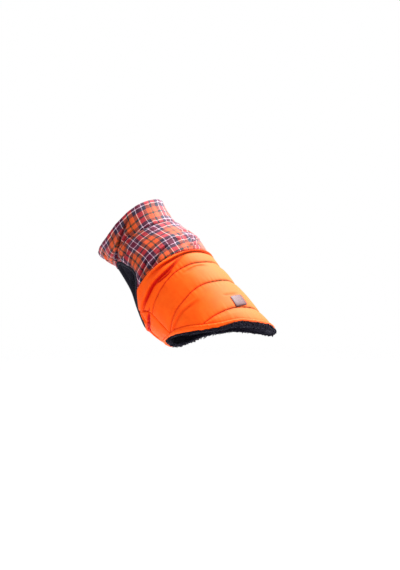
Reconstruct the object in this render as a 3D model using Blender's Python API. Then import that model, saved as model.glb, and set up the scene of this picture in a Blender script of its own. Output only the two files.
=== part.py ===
"""Dog vest in its worn form: a hollow trunk that slants up to the neck, open at hem, armholes and collar.

The front faces -Y and the left side is +X.  Every piece is cut from one fitted skin.  A place on the
skin is (angle, along): degrees round the body from the spine towards the left side, and metres up the
spine from the back of the hem.  A piece is an outline in those two, with an outer and an inner face.
"""

from collections import namedtuple
from math import cos, radians, sin

import bmesh
import bpy
import numpy as np
from mathutils import Vector
from mathutils.geometry import delaunay_2d_cdt

# Pose: the spine line slants up to the neck, and the frame's origin is inside the yoke, at the withers.
SLANT = 41.0
WITHERS_ALONG = 0.262

# Layers, as depths below the fitted skin: padded shell, a sewing gap, then the pile lining.
SHELL = 0.0056
LAYER_GAP = 0.0006
PILE = 0.0044
THINNEST = 0.0014
SEAM_GAP = 0.0003

# Rings of the fitted skin.  A ring crosses the spine at `along` and the belly line at `belly_along`,
# `rise` and `drop` are how far those two stand off the trunk's axis, and `half_width` is its side.
Ring = namedtuple("Ring", "along belly_along rise drop half_width")
RINGS = (
    Ring(-0.020, -0.020, 0.0790, 0.0770, 0.1210),
    Ring(0.000, 0.000, 0.0780, 0.0810, 0.1170),
    Ring(0.070, 0.070, 0.0795, 0.0950, 0.1045),
    Ring(0.140, 0.140, 0.0845, 0.1130, 0.1005),
    Ring(0.185, 0.186, 0.0855, 0.1190, 0.1010),
    Ring(0.217, 0.232, 0.0875, 0.1080, 0.0995),
    Ring(0.260, 0.278, 0.0905, 0.0920, 0.0875),
    Ring(0.303, 0.332, 0.0820, 0.0840, 0.0720),
    Ring(0.330, 0.350, 0.0825, 0.0910, 0.0690),
    Ring(0.360, 0.385, 0.0905, 0.1015, 0.0680),
)

# Seams and edges.
Place = namedtuple("Place", "angle along")
HEM = (
    Place(-180, 0.112),
    Place(-135, 0.103),
    Place(-108, 0.078),
    Place(-85, 0.040),
    Place(-62, 0.007),
    Place(-40, -0.004),
    Place(-20, -0.002),
    Place(0, 0.004),
    Place(20, 0.017),
    Place(45, 0.030),
    Place(80, 0.062),
    Place(108, 0.093),
    Place(130, 0.107),
    Place(180, 0.112),
)
YOKE_SEAM = (
    Place(-101, 0.214),
    Place(-66, 0.218),
    Place(-30, 0.214),
    Place(0, 0.214),
    Place(36, 0.219),
    Place(66, 0.219),
    Place(101, 0.214),
)
COLLAR_SEAM = (
    Place(-180, 0.318),
    Place(-80, 0.317),
    Place(-50, 0.311),
    Place(-15, 0.306),
    Place(15, 0.306),
    Place(50, 0.311),
    Place(80, 0.317),
    Place(180, 0.318),
)
COLLAR_TOP = (
    Place(-180, 0.362),
    Place(-130, 0.361),
    Place(-100, 0.359),
    Place(-75, 0.362),
    Place(-45, 0.365),
    Place(0, 0.363),
    Place(45, 0.3655),
    Place(75, 0.362),
    Place(100, 0.3585),
    Place(130, 0.361),
    Place(180, 0.362),
)
COLLAR_ROUND = 0.0012
COLLAR_LINING_SHORT = 0.0025
SIDE_SEAM = (
    Place(109, 0.060),
    Place(109, 0.092),
    Place(108, 0.118),
    Place(107, 0.137),
    Place(106, 0.152),
    Place(106, 0.165),
    Place(109.5, 0.175),
    Place(115.5, 0.184),
    Place(120.5, 0.191),
)
SHOULDER_SEAM = (Place(133, 0.300), Place(131, 0.309), Place(128, 0.319))
ARMHOLE = (
    Place(101, 0.214),
    Place(93.5, 0.230),
    Place(95.5, 0.250),
    Place(103, 0.268),
    Place(116, 0.289),
    Place(133, 0.300),
    Place(150, 0.293),
    Place(161, 0.268),
    Place(164, 0.238),
    Place(160, 0.206),
    Place(149, 0.177),
    Place(133, 0.172),
    Place(120.5, 0.191),
    Place(111.5, 0.201),
)
AT_YOKE_SEAM, AT_SHOULDER, AT_CHEST_SEAM, AT_SIDE_SEAM = 0, 5, 9, 12

# Quilting lines, straight across the flat panel; worn, they bow a little towards the neck.
QUILT_LINES = (
    (Place(-120, 0.020), Place(-33, 0.043), Place(0, 0.049), Place(38, 0.057), Place(62, 0.055),
     Place(120, 0.040)),
    (Place(-120, 0.100), Place(-33, 0.118), Place(0, 0.122), Place(36, 0.126), Place(62, 0.124),
     Place(120, 0.098)),
    (Place(-120, 0.158), Place(-33, 0.175), Place(0, 0.176), Place(36, 0.184), Place(66, 0.180),
     Place(120, 0.155)),
)
QUILT_DEPTH = 0.0026
QUILT_SPREAD = 0.0065
SEAM_DEPTH = 0.0018
SEAM_SPREAD = 0.0060

# Main folds: a trough from `start` through `middle` to `end`, with a lip of raised cloth above it.
Fold = namedtuple("Fold", "start middle end width depth lip")
FOLDS = (
    Fold(Place(-34, 0.197), Place(20, 0.210), Place(60, 0.208), 0.0050, 0.0034, 0.0016),
    Fold(Place(30, 0.205), Place(72, 0.197), Place(114, 0.184), 0.0070, 0.0042, 0.0026),
    Fold(Place(-118, 0.181), Place(-84, 0.192), Place(-52, 0.203), 0.0062, 0.0036, 0.0022),
    Fold(Place(70, 0.346), Place(97, 0.328), Place(134, 0.299), 0.0095, 0.0042, 0.0024),
    Fold(Place(-132, 0.302), Place(-104, 0.322), Place(-78, 0.341), 0.0090, 0.0034, 0.0018),
    Fold(Place(122, 0.305), Place(98, 0.296), Place(66, 0.300), 0.0055, 0.0026, 0.0010),
    Fold(Place(134, 0.168), Place(131, 0.150), Place(133, 0.128), 0.0070, 0.0028, 0.0010),
    Fold(Place(-140, 0.170), Place(-139, 0.148), Place(-146, 0.125), 0.0070, 0.0024, 0.0008),
)

# Hem band and armhole bindings, with their sections as shares of their size, in from the edge and down.
Corner = namedtuple("Corner", "inwards down")
HEM_HEIGHT = 0.0100
HEM_PEEP_BACK = 0.0060
HEM_PEEP_BELLY = 0.0010
HEM_SECTION = (
    Corner(0.97, 0.16),
    Corner(0.60, -0.06),
    Corner(0.22, -0.02),
    Corner(0.02, 0.35),
    Corner(0.10, 0.82),
    Corner(0.45, 0.97),
    Corner(0.97, 1.00),
)
BINDING_WIDTH = 0.0066
BINDING_TOP = 0.0008
BINDING_BOTTOM = 0.0112
BINDING_SECTION = (
    Corner(0.05, 0.16),
    Corner(0.40, 0.00),
    Corner(0.78, 0.14),
    Corner(1.00, 0.50),
    Corner(0.80, 0.84),
    Corner(0.40, 1.00),
    Corner(0.05, 0.86),
)

LABEL_CENTRE = Place(-4.5, 0.0695)
LABEL_HALF_ANGLE = 11.2
LABEL_HALF_HEIGHT = 0.0140
LABEL_THICKNESS = 0.0018
LABEL_LIFT = 0.0006
LABEL_COLUMNS = 11
LABEL_ROWS = 8

# Mesh: point spacing of faces and outlines, and the flat pattern's width of one degree, in metres.
OUTER_STEP = 0.0092
INNER_STEP = 0.0150
LINING_STEP = 0.0150
PLAIN_STEP = 0.0100
OUTLINE_STEP = 0.0075
OUTLINE_ROOM = 0.0041
POINT_ROOM = 0.0038
QUILT_REACH = 118
QUILT_GUIDE_ANGLE = 4.6
QUILT_GUIDE_SHIFT = 0.0042
FOLD_GUIDE_COUNT = 16
FLAT_DEGREE = 0.00172
COLLAR_COLUMNS = 72
COLLAR_ROWS = 8
COLLAR_LINING_ROWS = 4
HEM_COLUMNS = 84
BINDING_COLUMNS = 48

PLAID = (0.62, 0.16, 0.12)
ORANGE = (1.0, 0.13, 0.007)
BLACK = (0.012, 0.012, 0.018)
LEATHER = (0.22, 0.075, 0.045)

AXIS = np.array((0.0, -cos(radians(SLANT)), sin(radians(SLANT))))
DORSAL = np.array((0.0, sin(radians(SLANT)), cos(radians(SLANT))))
LEFT = np.array((1.0, 0.0, 0.0))


def through(x, xs, ys):
    """Smooth curve through the points (xs, ys): cubic Hermite pieces with finite-difference slopes."""
    xs = np.asarray(xs, float)
    ys = np.asarray(ys, float)
    slopes = np.gradient(ys, xs)
    x = np.asarray(x, float)
    piece = np.clip(np.searchsorted(xs, x, side="right") - 1, 0, len(xs) - 2)
    span = xs[piece + 1] - xs[piece]
    t = np.clip((x - xs[piece]) / span, -0.5, 1.5)
    start = (1 + 2 * t) * (1 - t) ** 2 * ys[piece] + t * (1 - t) ** 2 * span * slopes[piece]
    end = t * t * (3 - 2 * t) * ys[piece + 1] + t * t * (t - 1) * span * slopes[piece + 1]
    return start + end


def along_at(places, angle):
    """The seam's `along` at an angle."""
    return through(angle, [p.angle for p in places], [p.along for p in places])


def fitted_skin(angle, along):
    """Points of the fitted skin: an ellipse through the spine, the sides and the belly line."""
    stations = [r.along for r in RINGS]
    belly_along, rise, drop, half_width = (
        through(along, stations, [getattr(r, name) for r in RINGS])
        for name in ("belly_along", "rise", "drop", "half_width")
    )
    c = np.cos(np.radians(angle))
    s = np.sin(np.radians(angle))
    up_axis = (along + belly_along) / 2 + (along - belly_along) / 2 * c
    off_axis = (rise - drop) / 2 + (rise + drop) / 2 * c
    return up_axis[..., None] * AXIS + off_axis[..., None] * DORSAL + (half_width * s)[..., None] * LEFT


def outward(angle, along):
    """Unit normals of the fitted skin."""
    small = 0.0001
    turn = fitted_skin(angle + 0.05, along) - fitted_skin(angle - 0.05, along)
    climb = fitted_skin(angle, along + small) - fitted_skin(angle, along - small)
    normal = np.cross(climb, turn)
    return normal / np.linalg.norm(normal, axis=-1, keepdims=True)


def below_skin(angle, along, depth):
    """Points at a depth below the fitted skin, before the frame is set at the withers."""
    angle, along, depth = np.broadcast_arrays(
        np.asarray(angle, float), np.asarray(along, float), np.asarray(depth, float)
    )
    return fitted_skin(angle, along) - depth[..., None] * outward(angle, along)


WITHERS = below_skin(0.0, WITHERS_ALONG, SHELL + LAYER_GAP + PILE)


def place(angle, along, depth):
    """Points at a depth below the fitted skin, in the part's own frame."""
    return below_skin(angle, along, depth) - WITHERS


def flat(points):
    """(angle, along) rows laid out flat, in metres."""
    return np.asarray(points, float) * (FLAT_DEGREE, 1.0)


def fold_line(fold, count=25):
    """Points along a fold's curve, a parabola through its three places."""
    t = np.linspace(0.0, 1.0, count)[:, None]
    start, middle, end = (np.array(p) for p in (fold.start, fold.middle, fold.end))
    pull = 2 * middle - (start + end) / 2
    return (1 - t) ** 2 * start + 2 * t * (1 - t) * pull + t * t * end


def fold_dip(fold, angle, along):
    """Depth of one fold: a bell across, fading at both ends, less the lip on its neck side."""
    line = flat(fold_line(fold))
    here = np.stack([np.asarray(angle, float) * FLAT_DEGREE, np.asarray(along, float)], -1)
    away = np.linalg.norm(here[..., None, :] - line, axis=-1)
    nearest = away.argmin(-1)
    across = np.take_along_axis(away, nearest[..., None], -1)[..., 0]
    t = nearest / (len(line) - 1)
    fade = np.clip(np.minimum(t, 1 - t) * 5, 0, 1) ** 0.7
    neck_side = here[..., 1] > line[nearest, 1]
    trough = fold.depth * np.exp(-((across / fold.width) ** 2))
    lip = fold.lip * np.exp(-(((across - 1.9 * fold.width) / fold.width) ** 2)) * neck_side
    return fade * (trough - lip)


def all_folds(angle, along):
    """Depth of the main folds together."""
    return sum(fold_dip(fold, angle, along) for fold in FOLDS)


def valley(distance, depth, spread):
    """A stitched line's pull: deepest at the line, easing away from it."""
    return depth * np.exp(-np.abs(distance) / spread)


def held_in(dip):
    """Keeps a wall at least THINNEST thick."""
    return np.minimum(dip, SHELL - THINNEST)


def seam_dip(angle, along):
    """Pull of the yoke and collar seams."""
    end = ARMHOLE[AT_YOKE_SEAM].angle
    yoke = valley(along - along_at(YOKE_SEAM, np.clip(angle, -end, end)), SEAM_DEPTH, SEAM_SPREAD)
    collar = valley(along - along_at(COLLAR_SEAM, angle), SEAM_DEPTH, SEAM_SPREAD)
    return yoke * (np.abs(angle) <= end) + collar


def back_dip(angle, along):
    """Outer face of the quilted back: channels between the stitched lines, and the folds."""
    lines = [valley(along - along_at(line, angle), QUILT_DEPTH, QUILT_SPREAD) for line in QUILT_LINES]
    return held_in(np.max(lines, axis=0) + seam_dip(angle, along) + all_folds(angle, along))


def plain_dip(angle, along):
    """Outer face of an unquilted piece."""
    wrapped = (np.asarray(angle, float) + 180) % 360 - 180
    return held_in(seam_dip(wrapped, along) + all_folds(wrapped, along))


def shell_inside(angle, along):
    """Plain inside of the shell."""
    return np.full(np.shape(angle), SHELL)


def lining_outside(angle, along):
    """Outer face of the lining."""
    return np.full(np.shape(angle), SHELL + LAYER_GAP)


def lining_inside(angle, along):
    """Inner face of the lining, towards the hollow."""
    return np.full(np.shape(angle), SHELL + LAYER_GAP + PILE)


def seam_run(places, start, end):
    """Points of a seam given as `along` by angle, evenly spaced from one angle to another."""
    count = max(2, round(abs(end - start) * FLAT_DEGREE / OUTLINE_STEP) + 1)
    angle = np.linspace(start, end, count)
    wrapped = (angle + 180) % 360 - 180
    return np.stack([angle, along_at(places, wrapped)], -1)


def hem_run(start, end, lift):
    """Points above the hem's edge by `lift`, a function of the angle."""
    run = seam_run(HEM, start, end)
    run[:, 1] += lift(run[:, 0])
    return run


def up_run(places, bottom=None):
    """Points of a seam given as angle by `along`, from its lowest place, or from `bottom`, to its top."""
    alongs = [p.along for p in places]
    low = alongs[0] if bottom is None else bottom
    count = max(2, round((alongs[-1] - low) / OUTLINE_STEP) + 1)
    along = np.linspace(low, alongs[-1], count)
    return np.stack([through(along, alongs, [p.angle for p in places]), along], -1)


def armhole_run(first, last):
    """Points of the armhole's edge from one of its places to another, forwards."""
    rows = np.array(ARMHOLE)
    size = len(rows)
    laps = np.concatenate([rows, rows, rows])
    steps = (last - first) % size or size
    t = np.linspace(size + first, size + first + steps, round(steps * 3.2) + 1)
    index = np.arange(len(laps))
    return np.stack([through(t, index, laps[:, 0]), through(t, index, laps[:, 1])], -1)


def chest_seam():
    """Points of the seam between the armholes, from the left one to the right one."""
    left = ARMHOLE[AT_CHEST_SEAM].angle
    count = round((360 - 2 * left) * FLAT_DEGREE / OUTLINE_STEP) + 1
    return np.stack([np.linspace(left, 360 - left, count), np.full(count, ARMHOLE[AT_CHEST_SEAM].along)], -1)


def mirrored(run, about=0.0):
    """The same run on the other side of the spine (about 0) or of the belly line (about 180)."""
    return np.stack([2 * about - run[:, 0], run[:, 1]], -1)


def joined(*runs):
    """One closed outline from runs that follow each other; shared ends are kept once."""
    return np.concatenate([run[:-1] for run in runs])


def shrunk(outline, amount):
    """The flat outline moved inwards by an amount, along its corners' bisectors."""
    points = flat(outline)
    ahead = np.roll(points, -1, axis=0) - points
    ahead /= np.linalg.norm(ahead, axis=1, keepdims=True)
    behind = np.roll(ahead, 1, axis=0)
    area = np.sum(points[:, 0] * np.roll(points[:, 1], -1) - np.roll(points[:, 0], -1) * points[:, 1])
    side = np.sign(area)
    bisector = np.stack([-(ahead + behind)[:, 1], (ahead + behind)[:, 0]], -1) * side
    bisector /= np.linalg.norm(bisector, axis=1, keepdims=True)
    normal = np.stack([-ahead[:, 1], ahead[:, 0]], -1) * side
    lean = np.maximum(np.sum(bisector * normal, axis=1), 0.5)
    return (points + bisector * (amount / lean)[:, None]) / (FLAT_DEGREE, 1.0)


def inside(points, outline):
    """Which flat points lie inside a flat outline, by counting crossings."""
    x, y = points[:, 0:1], points[:, 1:2]
    x0, y0 = outline[:, 0], outline[:, 1]
    x1, y1 = np.roll(x0, -1), np.roll(y0, -1)
    crosses = (y0 > y) != (y1 > y)
    with np.errstate(divide="ignore", invalid="ignore"):
        at = x0 + (y - y0) / (y1 - y0) * (x1 - x0)
    return (crosses & (x < at)).sum(axis=1) % 2 == 1


def face_points(outline, step, guides):
    """Points that fill a flat outline: guide rows first, then a triangular lattice clear of them.

    Each keeps clear of the outline's points and of the middles between them, so that every edge of
    the outline is an edge of the triangles.
    """
    kept = np.empty((0, 2))
    fence = np.concatenate([outline, (outline + np.roll(outline, -1, axis=0)) / 2])
    low = outline.min(axis=0)
    high = outline.max(axis=0)
    lattice = []
    for k, y in enumerate(np.arange(low[1], high[1], step * 0.87)):
        x = np.arange(low[0] + (k % 2) * step / 2, high[0], step)
        lattice.append(np.stack([x, np.full_like(x, y)], -1))
    for group in [*guides, np.concatenate(lattice)]:
        group = group[inside(group, outline)]
        clear = nearest(group, fence) > OUTLINE_ROOM
        if len(kept):
            clear &= nearest(group, kept) > POINT_ROOM
        kept = np.concatenate([kept, group[clear]])
    return kept


def nearest(points, others):
    """Distance from each point to the nearest of some others."""
    return np.linalg.norm(points[:, None] - others[None], axis=-1).min(axis=1)


def triangles(outline, filling):
    """Triangles over a flat outline and its filling points, with the outline's points numbered first."""
    points = np.concatenate([outline, filling])
    millimetres = [Vector(p * 1000.0) for p in points]
    ring = list(range(len(outline)))
    result = delaunay_2d_cdt(millimetres, [], [ring], 0, 1e-4, True)
    original = [sources[0] for sources in result[3]]
    faces = np.array([[original[i] for i in face] for face in result[2]])
    return points, faces[inside(points[faces].mean(axis=1), outline)].tolist()


def walled(name, outline, outer, inner, material, step, inner_step, guides=()):
    """A piece of cloth as a closed wall: an outer face, a plain inner face and the cut edge between."""
    cut = flat(shrunk(outline, SEAM_GAP / 2))
    size = len(cut)
    out_points, out_faces = triangles(cut, face_points(cut, step, list(guides)))
    in_points, in_faces = triangles(cut, face_points(cut, inner_step, []))
    out_places = out_points / (FLAT_DEGREE, 1.0)
    in_places = in_points / (FLAT_DEGREE, 1.0)
    verts = np.concatenate([
        place(out_places[:, 0], out_places[:, 1], outer(out_places[:, 0], out_places[:, 1])),
        place(in_places[:, 0], in_places[:, 1], inner(in_places[:, 0], in_places[:, 1])),
    ])
    shift = len(out_points)
    faces = [face[::-1] for face in out_faces]
    faces += [[i + shift for i in face] for face in in_faces]
    faces += [[i, (i + 1) % size, (i + 1) % size + shift, i + shift] for i in range(size)]
    return solid(name, verts, faces, material)


def swept(name, grid, material):
    """A closed ring from a grid of points: columns round the ring, rows round its section."""
    columns, rows = grid.shape[:2]
    verts = grid.reshape(-1, 3)
    faces = []
    for i in range(columns):
        for j in range(rows):
            right = (i + 1) % columns
            up = (j + 1) % rows
            faces.append([i * rows + j, right * rows + j, right * rows + up, i * rows + up])
    return solid(name, verts, faces, material)


def solid(name, verts, faces, material):
    """An object from points and faces, with its normals outwards and smooth shading."""
    mesh = bpy.data.meshes.new(name)
    mesh.from_pydata([tuple(v) for v in verts], [], faces)
    work = bmesh.new()
    work.from_mesh(mesh)
    bmesh.ops.recalc_face_normals(work, faces=work.faces)
    work.to_mesh(mesh)
    work.free()
    mesh.shade_smooth()
    mesh.set_sharp_from_angle(angle=radians(50))
    mesh.materials.append(material)
    piece = bpy.data.objects.new(name, mesh)
    bpy.context.collection.objects.link(piece)
    return piece


def cloth(name, colour, roughness):
    """A plain material of one colour."""
    material = bpy.data.materials.new(name)
    material.use_nodes = True
    shader = material.node_tree.nodes["Principled BSDF"]
    shader.inputs["Base Color"].default_value = (*colour, 1.0)
    shader.inputs["Roughness"].default_value = roughness
    shader.inputs["Metallic"].default_value = 0.0
    return material


def quilt_guides():
    """Flat points on and beside the quilting lines, so that their channels keep their shape."""
    angle = np.arange(-QUILT_REACH, QUILT_REACH + 1, QUILT_GUIDE_ANGLE)
    return [
        flat(np.stack([angle, along_at(line, angle) + shift], -1))
        for line in QUILT_LINES
        for shift in (0.0, -QUILT_GUIDE_SHIFT, QUILT_GUIDE_SHIFT)
    ]


def fold_guides():
    """Flat points along each fold's trough, its foot and its lip."""
    return [
        flat(fold_line(fold, FOLD_GUIDE_COUNT) + (0.0, shift * fold.width))
        for fold in FOLDS
        for shift in (0.0, -1.0, 1.6)
    ]


def panel_edge(side, lift, *runs):
    """A panel's edge on one side (1 left, -1 right), told in the left side's angles.

    It goes up the side seam from the hem's edge, raised by `lift`, then along the given runs.
    """
    bottom = along_at(HEM, side * SIDE_SEAM[1].angle) + lift
    return np.concatenate([*(run[:-1] for run in (up_run(SIDE_SEAM, bottom), *runs[:-1])), runs[-1]])


def shoulder():
    """The shoulder seam, from the armhole up to the collar seam."""
    run = up_run(SHOULDER_SEAM)
    run[-1, 1] = along_at(COLLAR_SEAM, run[-1, 0])
    return run


def back_outline(lift, top_seam, *runs):
    """Outline across the spine: the hem, the left edge, a seam across the top, the right edge."""
    left, right = (panel_edge(side, lift(side * SIDE_SEAM[1].angle), *runs) for side in (1, -1))
    return joined(
        hem_run(-right[0, 0], left[0, 0], lift),
        left,
        seam_run(top_seam, left[-1, 0], -left[-1, 0]),
        mirrored(right)[::-1],
    )


def hem_peep(angle):
    """How far the lining's edge hangs past the hem, most at the back."""
    share = (1 + np.cos(np.radians(angle))) / 2
    return -(HEM_PEEP_BELLY + (HEM_PEEP_BACK - HEM_PEEP_BELLY) * share)


def hem_top(angle):
    """Height of the hem band, the same all round."""
    return np.full(np.shape(angle), HEM_HEIGHT)


def build_back_panel(material):
    """Quilted back, from the hem band to the yoke seam."""
    outline = back_outline(hem_top, YOKE_SEAM, armhole_run(AT_SIDE_SEAM, AT_YOKE_SEAM))
    guides = [*quilt_guides(), *fold_guides()]
    walled("back_panel", outline, back_dip, shell_inside, material, OUTER_STEP, INNER_STEP, guides)


def build_yoke(material):
    """Plaid yoke over the shoulders, from the back panel to the collar."""
    edge = armhole_run(AT_YOKE_SEAM, AT_SHOULDER)
    left = np.concatenate([edge[:-1], shoulder()])
    outline = joined(
        seam_run(YOKE_SEAM, -left[0, 0], left[0, 0]),
        left,
        seam_run(COLLAR_SEAM, left[-1, 0], -left[-1, 0]),
        mirrored(left)[::-1],
    )
    walled("yoke", outline, plain_dip, shell_inside, material, OUTER_STEP, INNER_STEP, fold_guides())


def build_belly_panel(material):
    """Belly panel between the side seams, from the hem band to the chest seam."""
    edge = armhole_run(AT_CHEST_SEAM, AT_SIDE_SEAM)[::-1]
    left, right = (panel_edge(side, HEM_HEIGHT, edge) for side in (1, -1))
    outline = joined(
        left,
        chest_seam(),
        mirrored(right, 180)[::-1],
        hem_run(360 - right[0, 0], left[0, 0], hem_top),
    )
    walled("belly_panel", outline, plain_dip, shell_inside, material, PLAIN_STEP, INNER_STEP)


def build_chest_panel(material):
    """Chest panel between the armholes, from the belly panel to the collar."""
    edge = armhole_run(AT_SHOULDER, AT_CHEST_SEAM)[::-1]
    left = np.concatenate([edge[:-1], shoulder()])
    outline = joined(
        left,
        seam_run(COLLAR_SEAM, left[-1, 0], 360 - left[-1, 0]),
        mirrored(left, 180)[::-1],
        chest_seam()[::-1],
    )
    walled("chest_panel", outline, plain_dip, shell_inside, material, PLAIN_STEP, INNER_STEP)


def build_lining(material):
    """Pile lining in two cuts, back and belly, each up to the collar seam."""
    over = armhole_run(AT_SIDE_SEAM, AT_SHOULDER)
    back = back_outline(hem_peep, COLLAR_SEAM, over, shoulder())
    under = armhole_run(AT_SHOULDER, AT_SIDE_SEAM)[::-1]
    seam = SIDE_SEAM[1].angle
    left, right = (panel_edge(side, hem_peep(side * seam), under, shoulder()) for side in (1, -1))
    belly = joined(
        left,
        seam_run(COLLAR_SEAM, left[-1, 0], 360 - left[-1, 0]),
        mirrored(right, 180)[::-1],
        hem_run(360 - right[0, 0], left[0, 0], hem_peep),
    )
    for name, outline in (("lining_back", back), ("lining_belly", belly)):
        walled(name, outline, lining_outside, lining_inside, material, LINING_STEP, LINING_STEP)


def collar_grid(outer, inner, short, rows):
    """Section points round a collar wall: up its outside, over the top and down its inside.

    The wall ends `short` of the collar's top.
    """
    angle = np.linspace(-180, 180, COLLAR_COLUMNS, endpoint=False)[:, None]
    bottom = along_at(COLLAR_SEAM, angle) + SEAM_GAP / 2
    top = along_at(COLLAR_TOP, angle) - short - COLLAR_ROUND
    share = np.linspace(0.0, 1.0, rows + 1)[None, :]
    along = bottom + (top - bottom) * share
    wide = np.broadcast_to(angle, along.shape)
    outside = place(wide, along, outer(wide, along))
    within = place(wide, along, inner(wide, along))
    crown_depth = (outer(wide, along)[:, -1] + inner(wide, along)[:, -1]) / 2
    crown = place(wide[:, -1], along[:, -1] + COLLAR_ROUND, crown_depth)
    return np.concatenate([outside, crown[:, None], within[:, ::-1]], axis=1)


def build_collar(plaid, pile):
    """Stand-up collar, and its own lining inside."""
    outside = collar_grid(plain_dip, shell_inside, 0.0, COLLAR_ROWS)
    within = collar_grid(lining_outside, lining_inside, COLLAR_LINING_SHORT, COLLAR_LINING_ROWS)
    swept("collar", outside, plaid)
    swept("lining_collar", within, pile)


def build_hem_band(material):
    """Rolled edge of the shell, all round the hem."""
    angle = np.linspace(-180, 180, HEM_COLUMNS, endpoint=False)[:, None]
    share = np.array(HEM_SECTION)
    along = along_at(HEM, angle) + share[None, :, 0] * HEM_HEIGHT
    depth = np.broadcast_to(share[None, :, 1] * SHELL, along.shape)
    swept("hem_band", place(np.broadcast_to(angle, along.shape), along, depth), material)


def build_binding(name, side, material):
    """Bound edge of one armhole; `side` is 1 for the left one and -1 for the right one."""
    lap = armhole_run(0, 0)
    place_on = np.linspace(0, len(lap) - 1, BINDING_COLUMNS, endpoint=False)
    index = np.arange(len(lap))
    edge = np.stack([np.interp(place_on, index, lap[:, 0]), np.interp(place_on, index, lap[:, 1])], -1)
    flat_edge = flat(edge)
    tangent = np.roll(flat_edge, -1, axis=0) - np.roll(flat_edge, 1, axis=0)
    tangent /= np.linalg.norm(tangent, axis=1, keepdims=True)
    into_hole = np.stack([tangent[:, 1], -tangent[:, 0]], -1)
    share = np.array(BINDING_SECTION)
    reach = SEAM_GAP / 2 + share[None, :, 0:1] * BINDING_WIDTH
    points = (flat_edge[:, None] + into_hole[:, None] * reach) / (FLAT_DEGREE, 1.0)
    depth = BINDING_TOP + share[None, :, 1] * (BINDING_BOTTOM - BINDING_TOP)
    depth = np.broadcast_to(depth, points.shape[:2])
    swept(name, place(side * points[..., 0], points[..., 1], depth), material)


def build_label(material):
    """Leather patch sewn on the back, made from the panel's own points moved out."""
    columns, rows = LABEL_COLUMNS, LABEL_ROWS
    angle = LABEL_CENTRE.angle + np.linspace(-LABEL_HALF_ANGLE, LABEL_HALF_ANGLE, columns)
    along = LABEL_CENTRE.along + np.linspace(-LABEL_HALF_HEIGHT, LABEL_HALF_HEIGHT, rows)
    angle, along = np.meshgrid(angle, along, indexing="ij")
    under = back_dip(angle, along) - LABEL_LIFT
    verts = np.concatenate([
        place(angle, along, under - LABEL_THICKNESS).reshape(-1, 3),
        place(angle, along, under).reshape(-1, 3),
    ])
    count = columns * rows
    faces = []
    for i in range(columns - 1):
        for j in range(rows - 1):
            quad = [i * rows + j, (i + 1) * rows + j, (i + 1) * rows + j + 1, i * rows + j + 1]
            faces.append(quad)
            faces.append([k + count for k in quad[::-1]])
    rim = [i * rows for i in range(columns)]
    rim += [(columns - 1) * rows + j for j in range(1, rows)]
    rim += [i * rows + rows - 1 for i in range(columns - 2, -1, -1)]
    rim += [j for j in range(rows - 2, 0, -1)]
    for a, b in zip(rim, rim[1:] + rim[:1]):
        faces.append([a, b, b + count, a + count])
    solid("label", verts, faces, material)


for old in list(bpy.data.objects):
    bpy.data.objects.remove(old)

plaid_cloth = cloth("plaid_flannel", PLAID, 0.85)
orange_cloth = cloth("orange_shell", ORANGE, 0.5)
black_pile = cloth("black_pile", BLACK, 0.95)
leather = cloth("brown_leather", LEATHER, 0.45)

build_back_panel(orange_cloth)
build_belly_panel(orange_cloth)
build_hem_band(orange_cloth)
build_yoke(plaid_cloth)
build_chest_panel(plaid_cloth)
build_collar(plaid_cloth, black_pile)
build_lining(black_pile)
build_binding("armhole_binding_left", 1, black_pile)
build_binding("armhole_binding_right", -1, black_pile)
build_label(leather)
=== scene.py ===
from collections import namedtuple
from math import cos, radians, sin

import bpy
import numpy as np
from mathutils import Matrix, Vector


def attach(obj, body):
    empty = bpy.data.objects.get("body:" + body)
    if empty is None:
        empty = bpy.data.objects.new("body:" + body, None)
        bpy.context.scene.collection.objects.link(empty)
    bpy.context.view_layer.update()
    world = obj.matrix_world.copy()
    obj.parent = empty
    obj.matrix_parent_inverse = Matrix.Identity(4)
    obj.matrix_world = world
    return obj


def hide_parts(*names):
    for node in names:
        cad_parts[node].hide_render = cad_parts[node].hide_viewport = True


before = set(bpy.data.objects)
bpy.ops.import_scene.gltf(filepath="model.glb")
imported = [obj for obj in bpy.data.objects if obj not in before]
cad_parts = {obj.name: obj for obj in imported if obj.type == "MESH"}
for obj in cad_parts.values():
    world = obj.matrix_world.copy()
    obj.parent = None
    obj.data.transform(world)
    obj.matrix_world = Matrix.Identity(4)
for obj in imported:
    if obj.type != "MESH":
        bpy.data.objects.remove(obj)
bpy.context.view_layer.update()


# ---- Camera, floor and light -----------------------------------------------------------------
# A vest is shown as if worn, hollow, above a pale studio floor.  The floor fades into the white
# surround at its rim.  One large soft light stands above, behind and to the right.

CAMERA_AT = Vector((1.97648233, 1.56479567, 0.11627545))
CAMERA_TO = Vector((0.00064635, 0.0486834, -0.1016139))


def aimed(name, data, place):
    """A camera or light that stands at a place and faces the vest."""
    made = bpy.data.objects.new(name, data)
    made.location = place
    made.rotation_mode = "QUATERNION"
    made.rotation_quaternion = (CAMERA_TO - Vector(place)).to_track_quat("-Z", "Y")
    bpy.context.scene.collection.objects.link(made)
    return made


lens = bpy.data.cameras.new("camera")
lens.lens, lens.sensor_width = 76.0, 36.0
bpy.context.scene.camera = aimed("camera", lens, CAMERA_AT)
bpy.context.scene.view_settings.view_transform = "Standard"
bpy.context.scene.view_settings.look = "None"


def fill(tree, socket, value):
    """Joins a socket to an output socket, or sets its value; a colour is opaque, and None leaves it alone."""
    if isinstance(value, bpy.types.NodeSocket):
        tree.links.new(value, socket)
    elif value is not None:
        socket.default_value = (*value, 1.0) if socket.type == "RGBA" else value


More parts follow.
